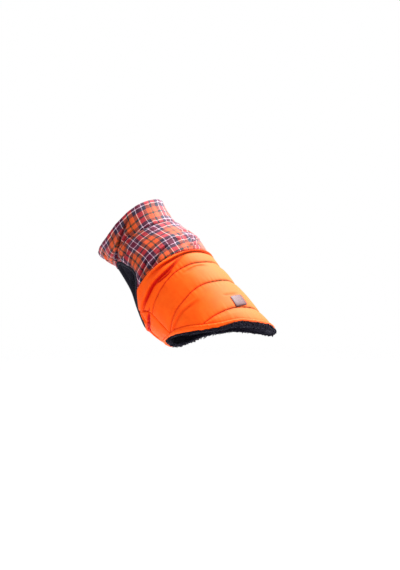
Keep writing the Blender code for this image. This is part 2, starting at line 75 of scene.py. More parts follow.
def node(tree, kind, *inputs, **values):
    """A new node: `inputs` fill its sockets in order, keys with a capital fill them by name, and the other keys
    are its settings."""
    made = tree.nodes.new("ShaderNode" + kind)
    for key, value in values.items():
        if key[0].islower():
            setattr(made, key, value)
    for socket, value in zip(made.inputs, inputs):
        fill(tree, socket, value)
    for key, value in values.items():
        if key[0].isupper():
            fill(tree, made.inputs[key.replace("_", " ")], value)
    return made


def spread(tree, value, *ends, **settings):
    """A value moved from one range, the first two ends, to another, the last two."""
    return node(tree, "MapRange", value, *ends, **settings).outputs["Result"]


def object_place(tree):
    """The place on the object, in metres."""
    return node(tree, "TexCoord").outputs["Object"]


def new_material(name, paint, **values):
    """A material with one principled shader: `values` fill its sockets by name, as do those that `paint`
    makes from nodes in its tree."""
    material = bpy.data.materials.new(name)
    material.use_nodes = True
    tree = material.node_tree
    for key, value in {**values, **paint(tree)}.items():
        fill(tree, tree.nodes["Principled BSDF"].inputs[key.replace("_", " ")], value)
    return material


def add_world():
    """White all round: full white to the camera, softer as light, so that cloth keeps its colour."""
    world = bpy.data.worlds.new("studio")
    world.use_nodes = True
    bpy.context.scene.world = world
    tree = world.node_tree
    light = tree.nodes["Background"]
    fill(tree, light.inputs["Color"], (0.97, 0.98, 1.0))
    fill(tree, light.inputs["Strength"], 0.80)
    seen = node(tree, "Background", (1.0, 1.0, 1.0))
    to_camera = node(tree, "LightPath").outputs["Is Camera Ray"]
    mix = node(tree, "MixShader", to_camera, light.outputs[0], seen.outputs[0])
    fill(tree, tree.nodes["World Output"].inputs["Surface"], mix.outputs[0])


def add_floor(height, radius, rings, spokes):
    """A disc at one height: points at (radius x share x cos, radius x share x sin), closed at its middle."""
    turn = np.linspace(0, 2 * np.pi, spokes, endpoint=False)
    share = np.linspace(0, 1, rings + 1)[1:, None]
    level = np.full((rings, spokes), height)
    disc = np.stack([radius * share * np.cos(turn), radius * share * np.sin(turn), level], -1)
    points = np.concatenate([[[0.0, 0.0, height]], disc.reshape(-1, 3)])
    index = 1 + np.arange(rings * spokes).reshape(rings, spokes)
    ahead = np.roll(index, -1, axis=1)
    quads = np.stack([index[:-1], index[1:], ahead[1:], ahead[:-1]], -1).reshape(-1, 4)
    middle = np.stack([np.zeros(spokes, int), index[0], ahead[0]], -1)
    mesh = bpy.data.meshes.new("floor")
    mesh.from_pydata(points.tolist(), [], middle.tolist() + quads.tolist())
    floor = bpy.data.objects.new("floor", mesh)
    bpy.context.scene.collection.objects.link(floor)

    def fade(tree):
        """The floor's cover, which falls away towards its rim."""
        distance = node(tree, "VectorMath", object_place(tree), operation="LENGTH").outputs["Value"]
        ends = (0.25 * radius, 0.95 * radius, 1.0, 0.0)
        return {"Alpha": spread(tree, distance, *ends, interpolation_type="SMOOTHSTEP")}

    mesh.materials.append(new_material("studio_floor", fade, Base_Color=(0.93, 0.93, 0.94), Roughness=0.7))


add_world()
add_floor(height=-0.62, radius=3.2, rings=6, spokes=64)
lamp = bpy.data.lights.new("key", "AREA")
lamp.shape, lamp.size, lamp.energy, lamp.color = "SQUARE", 1.1, 88.0, (1.0, 0.99, 0.98)
aimed("key", lamp, (-0.72, 0.43, 1.20))


# ---- Quilted back panel ----------------------------------------------------------------------
# A wide orange panel of fine shell cloth over thin wadding, stitched straight across in three lines.
# It lies over the back from the hem band to the yoke; slack cloth gathers into two deep folds
# below the yoke seam.

SLANT = 41.0
WITHERS_ALONG = 0.262
SHELL = 0.0056
DEEPEST = SHELL - 0.0004
LAYER_GAP = 0.0006
PILE = 0.0044
LINING_OUT = SHELL + LAYER_GAP
LINING_IN = LINING_OUT + PILE
FLAT_DEGREE = 0.00172
NOISE_CELLS = 64


def table(kind, *rows):
    """Rows of numbers under named columns: angles stay in degrees, and lengths go from mm to metres."""
    return tuple(kind(*(v if k == "angle" else v / 1000 for k, v in zip(kind._fields, row))) for row in rows)


# The body's form that every piece is cut to: a ring crosses the spine at `along` and the belly line
# at `belly_along`; `rise` and `drop` are how far those two stand off the axis, `half_width` its side.
Ring = namedtuple("Ring", "along belly_along rise drop half_width")
RINGS = table(
    Ring,
    (-20, -20, 79, 77, 121), (0, 0, 78, 81, 117), (70, 70, 79.5, 95, 104.5), (140, 140, 84.5, 113, 100.5),
    (185, 186, 85.5, 119, 101), (217, 232, 87.5, 108, 99.5), (260, 278, 90.5, 92, 87.5),
    (303, 332, 82, 84, 72), (330, 350, 82.5, 91, 69), (360, 385, 90.5, 101.5, 68),
)
AXIS = np.array((0.0, -cos(radians(SLANT)), sin(radians(SLANT))))
DORSAL = np.array((0.0, sin(radians(SLANT)), cos(radians(SLANT))))
LEFT = np.array((1.0, 0.0, 0.0))

# A place on that form is an angle round from the spine, in degrees to the left side, and how
# far along the spine from the back of the hem.
Place = namedtuple("Place", "angle along")
HEM = table(
    Place,
    (-180, 112), (-135, 103), (-108, 78), (-85, 40), (-62, 7), (-40, -4), (-20, -2), (0, 4), (20, 17),
    (45, 30), (80, 62), (108, 93), (130, 107), (180, 112),
)
YOKE_SEAM = table(
    Place,
    (-101, 214), (-66, 218), (-30, 214), (0, 214), (36, 219), (66, 219), (101, 214),
)
SIDE_SEAM = table(
    Place,
    (109, 60), (108, 92), (106.5, 118), (105, 137), (104, 152), (104, 165), (108.5, 175), (115, 184),
    (120.5, 191),
)
ARMHOLE = table(
    Place,
    (101, 214), (93.5, 230), (95.5, 250), (103, 268), (116, 289), (133, 300), (150, 293), (161, 268),
    (164, 238), (160, 206), (149, 177), (133, 172), (120.5, 191), (111.5, 201),
)
AT_YOKE_SEAM, AT_SHOULDER, AT_CHEST_SEAM, AT_SIDE_SEAM = 0, 5, 9, 12

# The rolled hem: where its top and bottom lie past the hem line, and how deep it reaches.  It is drawn
# up and thin where the lining hangs out, at the back and under the belly.
Roll = namedtuple("Roll", "angle top bottom thick")
HEM_ROLL = table(
    Roll,
    (-180, 8.5, 4.5, 4), (-128, 8.5, 4, 4.2), (-100, 10, 0.5, 6), (-60, 11, 0, 6), (-35, 10, 2.6, 4.2),
    (-10, 11, 3, 3.6), (17, 10.2, 2.6, 3.6), (30, 9.2, 1, 4.4), (42, 9.4, 0, 5.6), (53, 10.6, -0.4, 6),
    (64, 12.6, -0.6, 6), (75, 16, 0.2, 6), (86, 16.6, 1.4, 6), (97, 13.6, 1.4, 6), (106, 9.4, 0.8, 5.6),
    (117, 6.4, 1, 5), (132, 7.8, 2.6, 5.2), (180, 8.5, 4.5, 4),
)
HEM_TUCK = 0.0030

QUILT_LINES = (
    table(Place, (-120, 20), (-33, 42), (-12, 46.8), (0, 49.4), (15, 53.2), (30, 55.2), (45, 56), (62, 54.8),
          (120, 40)),
    table(Place, (-120, 94), (-33, 118.5), (0, 122.2), (15, 125), (26, 127.7), (38, 128.5), (50, 126.8),
          (60, 123.6), (75, 119.1), (98, 106.5), (120, 90)),
    table(Place, (-120, 147), (-33, 174), (0, 176.8), (10, 178.2), (22, 181.8), (32, 183.2), (45, 184.2),
          (60, 181.1), (75, 175.7), (90, 168), (120, 147)),
)
PUFF = 0.0032
PUFF_REACH = 0.0075
NOTCH = 0.0011
NOTCH_REACH = 0.0014
BACK_COLUMNS = 289
ROWS_BETWEEN_LINES = (32, 52, 48, 44)

# A crease is a trough along a path; cloth stands up as a lip on its left, or on its right where `lip`
# is negative.  `shade` is how much painted shade darkens its cloth's colour: 1 is a full fold, and more
# than 1 a darker painted shade still.
Crease = namedtuple("Crease", "width depth lip shade path")


def crease(width, depth, lip, shade, *path):
    """A crease from its sizes in mm, its shade, and its path's places."""
    return Crease(width / 1000, depth / 1000, lip / 1000, shade, table(Place, *path))


BACK_CREASES = (
    crease(3.2, 5.6, 3.4, 0.86, (-40, 195), (-21, 201), (-4, 205.8), (15, 209.8), (30, 211), (42, 210.9),
           (57, 211.3), (68, 210.4), (82, 208.6)),
    crease(4.4, 5.6, 3.6, 1, (22, 208.4), (31, 204.6), (40, 200.8), (50, 197.5), (60, 196.2), (75, 194.8),
           (90, 189.3), (101, 185.8), (120, 178.5)),
    crease(2.2, 2.8, 1.4, 1, (44, 195.8), (54, 190.2), (64, 189.6), (76, 193)),
    crease(1.8, 1.2, 0.8, 0.4, (50, 211), (60, 207.8), (76, 206)),
    crease(4.2, 1.4, 1, 0.15, (4, 163), (20, 170), (40, 170)),
    crease(1.8, 2.8, 1.2, 0.85, (96.5, 172.5), (103, 170), (109, 179), (114, 188)),
    crease(3.6, 2.6, 1.4, 0.3, (46, 103), (60, 104.5), (71, 106), (81, 103.5), (90, 100), (98, 95.5),
           (104, 91.5)),
    crease(2, 1.8, 0.6, 0.5, (19, 87.2), (11, 84.2), (2, 82.6), (-8, 83)),
    crease(4.2, 4.8, 3.2, 0.9, (-118, 181), (-92, 190), (-70, 197.5), (-46, 203)),
    crease(2.6, 3.4, -2, 0.6, (-58, 210), (-74, 207.6), (-92, 201)),
    crease(3.4, 2.2, 1.2, 0.4, (-104, 168), (-100, 150), (-101, 128)),
    crease(4.5, 1.6, 0.8, 0.1, (-92, 108), (-84, 95), (-80, 76)),
    crease(5, 1.4, 0.8, 0.1, (-46, 162), (-30, 167), (-12, 166)),
)


def through(x, xs, ys):
    """Smooth curve through points: cubic Hermite pieces with finite-difference slopes."""
    xs, ys, x = (np.asarray(v, float) for v in (xs, ys, x))
    slopes = np.gradient(ys, xs)
    piece = np.clip(np.searchsorted(xs, x, side="right") - 1, 0, len(xs) - 2)
    span = xs[piece + 1] - xs[piece]
    t = np.clip((x - xs[piece]) / span, -0.5, 1.5)
    start = (1 + 2 * t) * (1 - t) ** 2 * ys[piece] + t * (1 - t) ** 2 * span * slopes[piece]
    end = t * t * (3 - 2 * t) * ys[piece + 1] + t * t * (t - 1) * span * slopes[piece + 1]
    return start + end


def read(rows, name, x, by):
    """A table's column `name`, read along a smooth curve at values x of its column `by`."""
    return through(x, [getattr(row, by) for row in rows], [getattr(row, name) for row in rows])


def wrapped(angle):
    """The same angle between -180 and 180 degrees."""
    return (np.asarray(angle, float) + 180) % 360 - 180


def along_at(places, angle):
    """How far along a seam lies at an angle."""
    return read(places, "along", wrapped(angle), "angle")


def roll_at(angle):
    """The hem roll's top, bottom and thickness at an angle."""
    return [read(HEM_ROLL, name, wrapped(angle), "angle") for name in ("top", "bottom", "thick")]


def body_form(angle, along):
    """The body's form: an ellipse through the spine, both sides and the belly line."""
    belly_along, rise, drop, half_width = (read(RINGS, name, along, "along") for name in Ring._fields[1:])
    c, s = np.cos(np.radians(angle)), np.sin(np.radians(angle))
    up_axis = (along + belly_along) / 2 + (along - belly_along) / 2 * c
    off_axis = (rise - drop) / 2 + (rise + drop) / 2 * c
    return up_axis[..., None] * AXIS + off_axis[..., None] * DORSAL + (half_width * s)[..., None] * LEFT


def unit(vectors):
    """Vectors of length one."""
    return vectors / np.linalg.norm(vectors, axis=-1, keepdims=True)


def outward(angle, along):
    """Unit normals: the climb along the body crossed with the turn round it."""
    turn = body_form(angle + 0.05, along) - body_form(angle - 0.05, along)
    climb = body_form(angle, along + 0.0001) - body_form(angle, along - 0.0001)
    return unit(np.cross(climb, turn))


def bell(*offsets):
    """A soft bell, exp(-(a^2 + b^2 ...)), of offsets that are given in widths of the bell."""
    return np.exp(-sum(offset**2 for offset in offsets))


def under(angle, along, depth):
    """Points at a depth below the body's outer form, before the frame is set at the withers.  All the cloth is
    drawn in a little, in a soft bell, beside the belly's edge."""
    angle, along, depth = np.broadcast_arrays(*(np.asarray(v, float) for v in (angle, along, depth)))
    depth = depth + 0.0044 * bell((np.abs(wrapped(angle)) - 138) / 30, (along - 0.104) / 0.030)
    return body_form(angle, along) - depth[..., None] * outward(angle, along)


WITHERS = under(0.0, WITHERS_ALONG, LINING_IN)


def place(angle, along, depth):
    """Points at a depth below the outer form; a negative depth stands proud."""
    return under(angle, along, depth) - WITHERS


def flat(angle, along):
    """Angle and along as a flat pattern, in metres."""
    return np.stack([np.asarray(angle, float) * FLAT_DEGREE, np.asarray(along, float)], -1)


def walked(run):
    """How far along a run of (angle, along) rows each row lies on the flat pattern."""
    steps = np.linalg.norm(np.diff(flat(run[:, 0], run[:, 1]), axis=0), axis=1)
    return np.concatenate([[0.0], np.cumsum(steps)])


def curve_through(places, count):
    """Points on a smooth curve through places, evenly spaced on the flat pattern."""
    rows = np.array(places, float)
    knots = walked(rows)
    t = np.linspace(0, knots[-1], count)
    return np.stack([through(t, knots, rows[:, k]) for k in (0, 1)], -1)


def read_run(run, share):
    """A run of (angle, along) rows read at shares of its length on the flat pattern."""
    knots = walked(run)
    return np.stack([np.interp(share, knots / knots[-1], run[:, k]) for k in (0, 1)], -1)


def joined(*runs):
    """Runs end to end: each one's last row gives way to the next one's first."""
    return np.concatenate([run[:-1] for run in runs[:-1]] + [runs[-1]])


def seam_run(places, start, end):
    """Rows along a seam that is known as `along` by angle, from one angle to another."""
    angle = np.linspace(start, end, 120)
    return np.stack([angle, along_at(places, angle)], -1)


def up_run(places, bottom):
    """Rows up a seam that is known as angle by `along`, from `bottom` to its top."""
    along = np.linspace(bottom, places[-1].along, 60)
    return np.stack([read(places, "angle", along, "along"), along], -1)


def armhole_run(first, last):
    """Rows along the armhole's edge from one of its places to another, forwards."""
    rows = np.concatenate([np.array(ARMHOLE)] * 3)
    size = len(ARMHOLE)
    steps = (last - first) % size or size
    t = np.linspace(size + first, size + first + steps, steps * 12 + 1)
    return np.stack([through(t, np.arange(len(rows)), rows[:, k]) for k in (0, 1)], -1)


def mirrored(run, about=0.0):
    """The same run on the other side of the spine (about 0) or of the belly line (about 180)."""
    return np.stack([2 * about - run[:, 0], run[:, 1]], -1)


def tucked_run(start, end):
    """Rows along a panel's lower edge, tucked a little way into the hem roll."""
    run = seam_run(HEM, start, end)
    run[:, 1] += roll_at(run[:, 0])[0] - HEM_TUCK
    return run


def side_run(side, lift=None):
    """Rows up the side seam, told in the left side's angles, from the roll or from a lift off the hem line."""
    seam = side * SIDE_SEAM[1].angle
    lift = roll_at(seam)[0] - HEM_TUCK if lift is None else lift
    return up_run(SIDE_SEAM, float(along_at(HEM, seam) + lift))


def patch(bottom, top, left, right, columns, heights):
    """A grid between four edges: the two ruled blends of opposite edges, less the blend of the corners.
    `heights` tells how far up each row lies, 0 to 1, for all columns or for each one."""
    u = np.linspace(0, 1, columns)[:, None]
    v = np.broadcast_to(heights, (columns, np.shape(heights)[-1]))
    low, high, first, last = read_run(bottom, u), read_run(top, u), read_run(left, v), read_run(right, v)
    u, v = u[..., None], v[..., None]
    corners = (1 - u) * ((1 - v) * low[:1] + v * high[:1]) + u * ((1 - v) * low[-1:] + v * high[-1:])
    grid = (1 - v) * low + v * high + (1 - u) * first + u * last - corners
    return grid[..., 0], grid[..., 1]


def quilted_rows(edges, columns):
    """Heights of the rows, so that some run right along the quilting lines: each column's own crossings of the
    lines, with x - 0.72 sin(2 pi x) / 2 pi between them, which sets rows closest beside the stitches."""
    share = np.linspace(0, 1, 241)
    angle, along = patch(*edges, columns, share)
    marks = [np.zeros(columns)]
    for line in QUILT_LINES:
        gap = along_at(line, angle) - along
        below = np.clip((gap > 0).sum(axis=1) - 1, 0, len(share) - 2)[:, None]
        here, ahead = (np.take_along_axis(gap, below + k, 1)[:, 0] for k in (0, 1))
        crossing = (below[:, 0] + np.clip(here / (here - ahead), 0, 1)) / (len(share) - 1)
        marks.append(np.maximum(crossing, marks[-1] + 0.04))
    marks.append(np.ones(columns))
    rows = [marks[0][:, None]]
    for start, end, count in zip(marks, marks[1:], ROWS_BETWEEN_LINES):
        x = np.linspace(0, 1, count + 1)[1:]
        closer = x - 0.72 * np.sin(2 * np.pi * x) / (2 * np.pi)
        rows.append(start[:, None] + (end - start)[:, None] * closer)
    return np.concatenate(rows, axis=1)


def from_edges(angle, along):
    """Distance of each grid point from the patch's four edges, along its own row and column."""
    points = flat(angle, along)
    across = np.linalg.norm(np.diff(points, axis=0), axis=-1).cumsum(axis=0)
    up = np.linalg.norm(np.diff(points, axis=1), axis=-1).cumsum(axis=1)
    first = np.concatenate([np.zeros((1, points.shape[1])), across])
    low = np.concatenate([np.zeros((points.shape[0], 1)), up], axis=1)
    return first, first[-1:] - first, low, low[:, -1:] - low


def soft_noise(x, y, seed):
    """Smooth noise from -1 to 1: random values on a lattice that repeats, eased with 3t^2 - 2t^3."""
    values = np.random.default_rng(seed).uniform(-1, 1, (NOISE_CELLS, NOISE_CELLS))
    ix, iy = np.floor(x).astype(int), np.floor(y).astype(int)
    tx, ty = x - ix, y - iy
    tx, ty = tx * tx * (3 - 2 * tx), ty * ty * (3 - 2 * ty)
    at = [[values[(ix + a) % NOISE_CELLS, (iy + b) % NOISE_CELLS] for b in (0, 1)] for a in (0, 1)]
    return (at[0][0] * (1 - tx) + at[1][0] * tx) * (1 - ty) + (at[0][1] * (1 - tx) + at[1][1] * tx) * ty


def cloth_noise(angle, up, waves, seed):
    """Soft noise with `waves` cells once round the body and `up` cells along it."""
    return soft_noise(angle * waves / 360, up, seed)


def creased(creases, angle, along):
    """Creases as depth, shade and slide on the flat cloth.  At distance d from a crease of half-width w, depth
    is depth x exp(-(d/w)^4) on its lip's side and depth x exp(-(d/1.8w)^2) on the other, less the lip, lip x
    exp(-((d - 1.6w) / 0.8w)^2), which leans over the trough and is 0.2 as high on the other side; shade is
    exp(-(d/w)^4); w narrows and all fades out towards both ends."""
    here = flat(angle, along)
    depth, shade, slide = np.zeros(np.shape(angle)), np.zeros(np.shape(angle)), np.zeros(here.shape)
    for fold in creases:
        rows = curve_through(fold.path, 241)
        line = flat(rows[:, 0], rows[:, 1])
        ahead = np.gradient(line, axis=0)
        reach = 4 * fold.width
        near = np.all((here > line.min(axis=0) - reach) & (here < line.max(axis=0) + reach), axis=-1)
        offset = here[near][:, None] - line
        closest = np.sum(offset**2, axis=-1).argmin(axis=1)
        step = offset[np.arange(len(closest)), closest]
        away = np.linalg.norm(step, axis=-1)
        t = closest / (len(line) - 1)
        fade = np.clip(4 * np.minimum(t, 1 - t), 0, 1) ** 0.8
        width = fold.width * (0.5 + 0.5 * np.sqrt(np.sin(np.pi * t)))
        side = (ahead[closest, 0] * step[:, 1] - ahead[closest, 1] * step[:, 0]) * np.sign(fold.lip)
        lip = bell((away - 1.6 * width) / (0.8 * width)) * np.where(side > 0, 1.0, 0.2) * fade
        core = np.exp(-((away / width) ** 4))
        trough = np.where(side > 0, core, bell(away / (1.8 * width)))
        depth[near] += fold.depth * trough * fade - abs(fold.lip) * lip
        shade[near] = np.maximum(shade[near], fold.shade * core * fade)
        lean = 280 * abs(fold.lip) * width * lip
        slide[near] -= (lean / np.maximum(away, 1e-6))[:, None] * step
    return depth, shade, slide


def dying(distance, depth, reach):
    """A depth that dies away from an edge or a seam: depth x exp(-distance/reach)."""
    return depth * np.exp(-distance / reach)


def puckers(angle, along, distance, depth, seed):
    """Small gathers beside a stitched line: noise across the line, dying away with distance from it."""
    ripple = cloth_noise(angle, along * 22 + 7, 128, seed) + 0.6 * cloth_noise(angle, along * 40, 256, seed + 1)
    return ripple * dying(distance, depth, 0.009)


def grid_faces(index):
    """Four-sided faces over a grid of point numbers, turned outwards."""
    return np.stack([index[:-1, :-1], index[:-1, 1:], index[1:, 1:], index[1:, :-1]], -1).reshape(-1, 4)


def rim(index):
    """The point numbers round a grid's edge, once round."""
    return np.concatenate([index[:-1, 0], index[-1, :-1], index[:0:-1, -1], index[0, :0:-1]])


def key_lit(angle):
    """Where the key light falls hardest, 0 to 1, as the mask for painted highlight and painted shade: over the
    back and down the right side, with soft ends.
    """
    return 1 / (1 + np.exp((np.abs(wrapped(angle) + 25) - 55) / 10))


def cloth_object(name, points, faces, material, pattern=None, painted_shade=None, angle=None):
    """A smooth-shaded piece on the body "root".  `pattern` gives the place on the flat cloth, in metres, of
    each point or of each face's corners, the painted shade mark how dark painted shade makes each point, and
    `angle` where the point lies round the body, which gives the mark of where the key light falls hardest."""
    mesh = bpy.data.meshes.new(name)
    mesh.from_pydata(points.tolist(), [], faces)
    mesh.shade_smooth()
    if pattern is not None:
        corner = np.empty(len(mesh.loops), np.int32)
        mesh.loops.foreach_get("vertex_index", corner)
        pattern = pattern if len(pattern) == len(corner) else pattern[corner]
        mesh.uv_layers.new(name="cloth").uv.foreach_set("vector", pattern.astype(np.float32).ravel())
    for mark, values in (("painted_shade", painted_shade), ("key_lit", None if angle is None else key_lit(angle))):
        held = mesh.attributes.new(mark, "FLOAT", "POINT")
        values = np.zeros(len(points)) if values is None else values
        held.data.foreach_set("value", values.astype(np.float32))
    mesh.materials.append(material)
    piece = bpy.data.objects.new(name, mesh)
    bpy.context.scene.collection.objects.link(piece)
    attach(piece, "root")
    return piece


COARSE = 4


def walled(name, angle, along, outer, material, pattern):
    """A closed wall: a fine outer face of given depth, painted shade and slide, an inner face on every fourth
    point, and a strip round the edge."""
    depth, painted_shade, slide = outer
    coarse = (slice(None, None, COARSE),) * 2
    front = place(angle + slide[..., 0] / FLAT_DEGREE, along + slide[..., 1], depth)
    back = place(angle[coarse], along[coarse], SHELL)
    fine = np.arange(angle.size).reshape(angle.shape)
    plain = angle.size + np.arange(back.shape[0] * back.shape[1]).reshape(back.shape[:2])
    steps, inside = rim(fine).reshape(-1, COARSE), rim(plain)
    strip = np.column_stack([inside, np.roll(inside, -1), np.roll(steps[:, 0], -1), steps[:, ::-1]])
    faces = grid_faces(fine).tolist() + grid_faces(plain)[:, ::-1].tolist() + strip[:, ::-1].tolist()
    points = np.concatenate([front.reshape(-1, 3), back.reshape(-1, 3)])
    cloth, held, round_it = (
        np.concatenate([marks.reshape(angle.size, -1), marks[coarse].reshape(plain.size, -1)])
        for marks in (pattern, painted_shade, angle)
    )
    return cloth_object(name, points, faces, material, cloth, held.ravel(), round_it.ravel())


def round_body(angle, along):
    """Flat cloth coordinates in metres: the arc round from the spine at each point, and `along`."""
    share = np.linspace(0, 1, 25)
    steps = np.diff(body_form(angle[..., None] * share, along[..., None] + 0 * share), axis=-2)
    return np.stack([np.sign(angle) * np.linalg.norm(steps, axis=-1).sum(axis=-1), along], -1)


def quilt_distance(angle, along):
    """Distance to the nearest quilting line."""
    return np.min([np.abs(along - along_at(line, angle)) for line in QUILT_LINES], axis=0)


def padding(angle, along, nearest):
    """Depth of the wadded ground: it sinks by PUFF x exp(-distance/reach) towards stitches and edges, and
    stands fuller in a soft bell over the small of the back."""
    fuller = 0.0026 * bell((along - 0.083) / 0.034, (angle + 30) / 38)
    return dying(nearest, PUFF, PUFF_REACH) - 0.0012 - fuller


def stitch_shade_strength(angle):
    """How strong the painted shade along the stitched lines is, 0 to 1: least at the sides, most over the
    spine.
    """
    return 0.45 + 0.50 * np.cos(np.radians(np.clip(angle, -90, 90)))


def back_outer(angle, along):
    """Outer face of the quilted back: puffs between the stitched lines, gathers, folds and turned-in edges."""
    first, last, low, high = from_edges(angle, along)
    stitches, side = quilt_distance(angle, along), np.minimum(first, last)
    roll = np.abs(low - HEM_TUCK)
    nearest = np.min([stitches, side, roll, high], axis=0)
    depth, painted_shade, slide = creased(BACK_CREASES, angle, along)
    depth += padding(angle, along, nearest) + NOTCH * np.exp(-((stitches / NOTCH_REACH) ** 1.3))
    depth += puckers(angle, along, nearest, 0.0006, 11) + 0.0006 * cloth_noise(angle, along * 26, 32, 21)
    depth += dying(np.minimum(low, high), 0.0022, 0.0016) + dying(side, 0.0007, 0.0010)
    # Painted shade: dark lines along the stitched lines, wider where the key light falls hardest, fainter ones
    # along the hem roll and the side edges, and the creases' own.
    sewn = [stitch_shade_strength(angle) * bell(stitches / (0.0015 + 0.0012 * key_lit(angle)))]
    sewn += [0.4 * bell(roll / 0.0014), 0.12 * bell(side / 0.0010)]
    return np.minimum(depth, DEEPEST), np.max([*sewn, painted_shade], axis=0), slide


def new_group(name, inputs, outputs):
    """A shader node group with named sockets, its input sockets, and a call that fills its outputs in order."""
    group = bpy.data.node_groups.new(name, "ShaderNodeTree")
    for label, (kind, value) in inputs.items():
        socket = group.interface.new_socket(label, in_out="INPUT", socket_type="NodeSocket" + kind)
        if value is not None:
            socket.default_value = value
    for label, kind in outputs.items():
        group.interface.new_socket(label, in_out="OUTPUT", socket_type="NodeSocket" + kind)
    start, end = group.nodes.new("NodeGroupInput"), group.nodes.new("NodeGroupOutput")
    return group, [start.outputs[label] for label in inputs], lambda *made: [
        fill(group, socket, value) for socket, value in zip(end.inputs, made)
    ]


def maths(tree, operation, *inputs):
    """The result of a sum of numbers."""
    return node(tree, "Math", *inputs, operation=operation).outputs[0]


def mixed(tree, share, first, second, **settings):
    """A share of the second colour in the first, or of their product where blend_type is MULTIPLY."""
    return node(tree, "Mix", share, *[None] * 5, first, second, data_type="RGBA", **settings).outputs[2]


def mark(tree, name):
    """One of the marks that the mesh carries: the painted shade, or where the key light falls hardest."""
    return node(tree, "Attribute", attribute_name=name).outputs["Fac"]


def noise(tree, at, scale, detail):
    """Soft noise at places, 0 to 1."""
    return node(tree, "TexNoise", at, Scale=scale, Detail=detail).outputs[0]


def cloth_place(tree):
    """The place on the flat cloth that the mesh carries, in metres."""
    return node(tree, "UVMap", uv_map="cloth").outputs["UV"]


def bumped(tree, height, strength, distance):
    """The normal of a surface with a fine relief."""
    return node(tree, "Bump", Height=height, Strength=strength, Distance=distance).outputs["Normal"]


def plain_weave_group():
    """Plain weave: a there-and-back wave for each thread direction, multiplied, and wear in soft spots."""
    inputs = {"Cloth": ("Vector", None), "Thread": ("Float", 0.0005), "Wear": ("Float", 0.3)}
    group, (cloth, thread, wear), give = new_group("plain_weave", inputs, {"Height": "Float", "Shade": "Float"})
    split = node(group, "SeparateXYZ", cloth).outputs
    waves = [maths(group, "PINGPONG", maths(group, "DIVIDE", split[k], thread), 1.0) for k in (0, 1)]
    worn = spread(group, noise(group, cloth, 55.0, 4.0), 0.3, 0.7, 1.0, maths(group, "SUBTRACT", 1.0, wear))
    give(maths(group, "MULTIPLY", *waves), worn)
    return group


plain_weave = plain_weave_group()


def shell_paint(tree):
    """Fine woven shell, a little paler in soft spots where it is rubbed; painted highlight makes it paler where
    the key light falls hardest, and painted shade darkens it to deep red in folds, seams and stitched lines,
    or to brown under the painted highlight."""
    cloth = cloth_place(tree)
    weave = node(tree, "Group", cloth, 0.0006, 1.0, node_tree=plain_weave).outputs
    lit_share = mark(tree, "key_lit")
    colour = mixed(tree, weave["Shade"], (0.97, 0.088, 0.001), (1.00, 0.110, 0.003))
    # Painted highlight: paler orange where the key light falls hardest.
    highlit_colour = mixed(tree, maths(tree, "POWER", lit_share, 2.5), colour, (1.00, 0.142, 0.034))
    # Painted shade in folds, seams and stitched lines: deep red, or brown under the painted highlight; past 1
    # it darkens further still.
    shade_tint = mixed(tree, lit_share, (0.62, 0.020, 0.03), (0.02, 0.30, 0.20))
    past_full = {"blend_type": "MULTIPLY", "clamp_factor": False, "clamp_result": True}
    shaded_colour = mixed(tree, mark(tree, "painted_shade"), highlit_colour, shade_tint, **past_full)
    return {"Base Color": shaded_colour, "Normal": bumped(tree, weave["Height"], 0.35, 0.0002)}


shell_cloth = new_material(
    "orange_shell_cloth", shell_paint, Roughness=0.62, Specular_IOR_Level=0.10, Sheen_Weight=0.10,
    Sheen_Roughness=0.40, Sheen_Tint=(1.0, 0.72, 0.45),
)

left_edge = joined(side_run(1), armhole_run(AT_SIDE_SEAM, AT_YOKE_SEAM))
right_edge = mirrored(joined(side_run(-1), armhole_run(AT_SIDE_SEAM, AT_YOKE_SEAM)))
edges = (
    tucked_run(right_edge[0, 0], left_edge[0, 0]),
    seam_run(YOKE_SEAM, right_edge[-1, 0], left_edge[-1, 0]),
    right_edge, left_edge,
)
angle, along = patch(*edges, BACK_COLUMNS, quilted_rows(edges, BACK_COLUMNS))
back = walled("quilted_back", angle, along, back_outer(angle, along), shell_cloth, round_body(angle, along))
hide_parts("back_panel")


def tubes(count, rows, ring):
    """Faces of closed tubes, each of `rows` rings of `ring` points, with a flat face at both ends."""
    index = np.arange(rows * ring).reshape(rows, ring)
    ahead = np.roll(index, -1, axis=1)
    shift = rows * ring * np.arange(count)[:, None, None]
    sides = np.stack([index[:-1], ahead[:-1], ahead[1:], index[1:]], -1).reshape(1, -1, 4) + shift
    ends = np.stack([index[0, ::-1], index[-1]])[None] + shift
    return sides.reshape(-1, 4).tolist() + ends.reshape(-1, ring).tolist()


# A stitch's bead: how far along it each ring stands, how thick the ring is and how far it sinks.
BEAD_ALONG = np.array([-0.5, -0.36, 0.0, 0.36, 0.5])
BEAD_THICK = np.array([0.25, 0.85, 1.0, 0.85, 0.25])
BEAD_SINK = np.array([0.9, 0.3, 0.0, 0.3, 0.9])
RING = 6


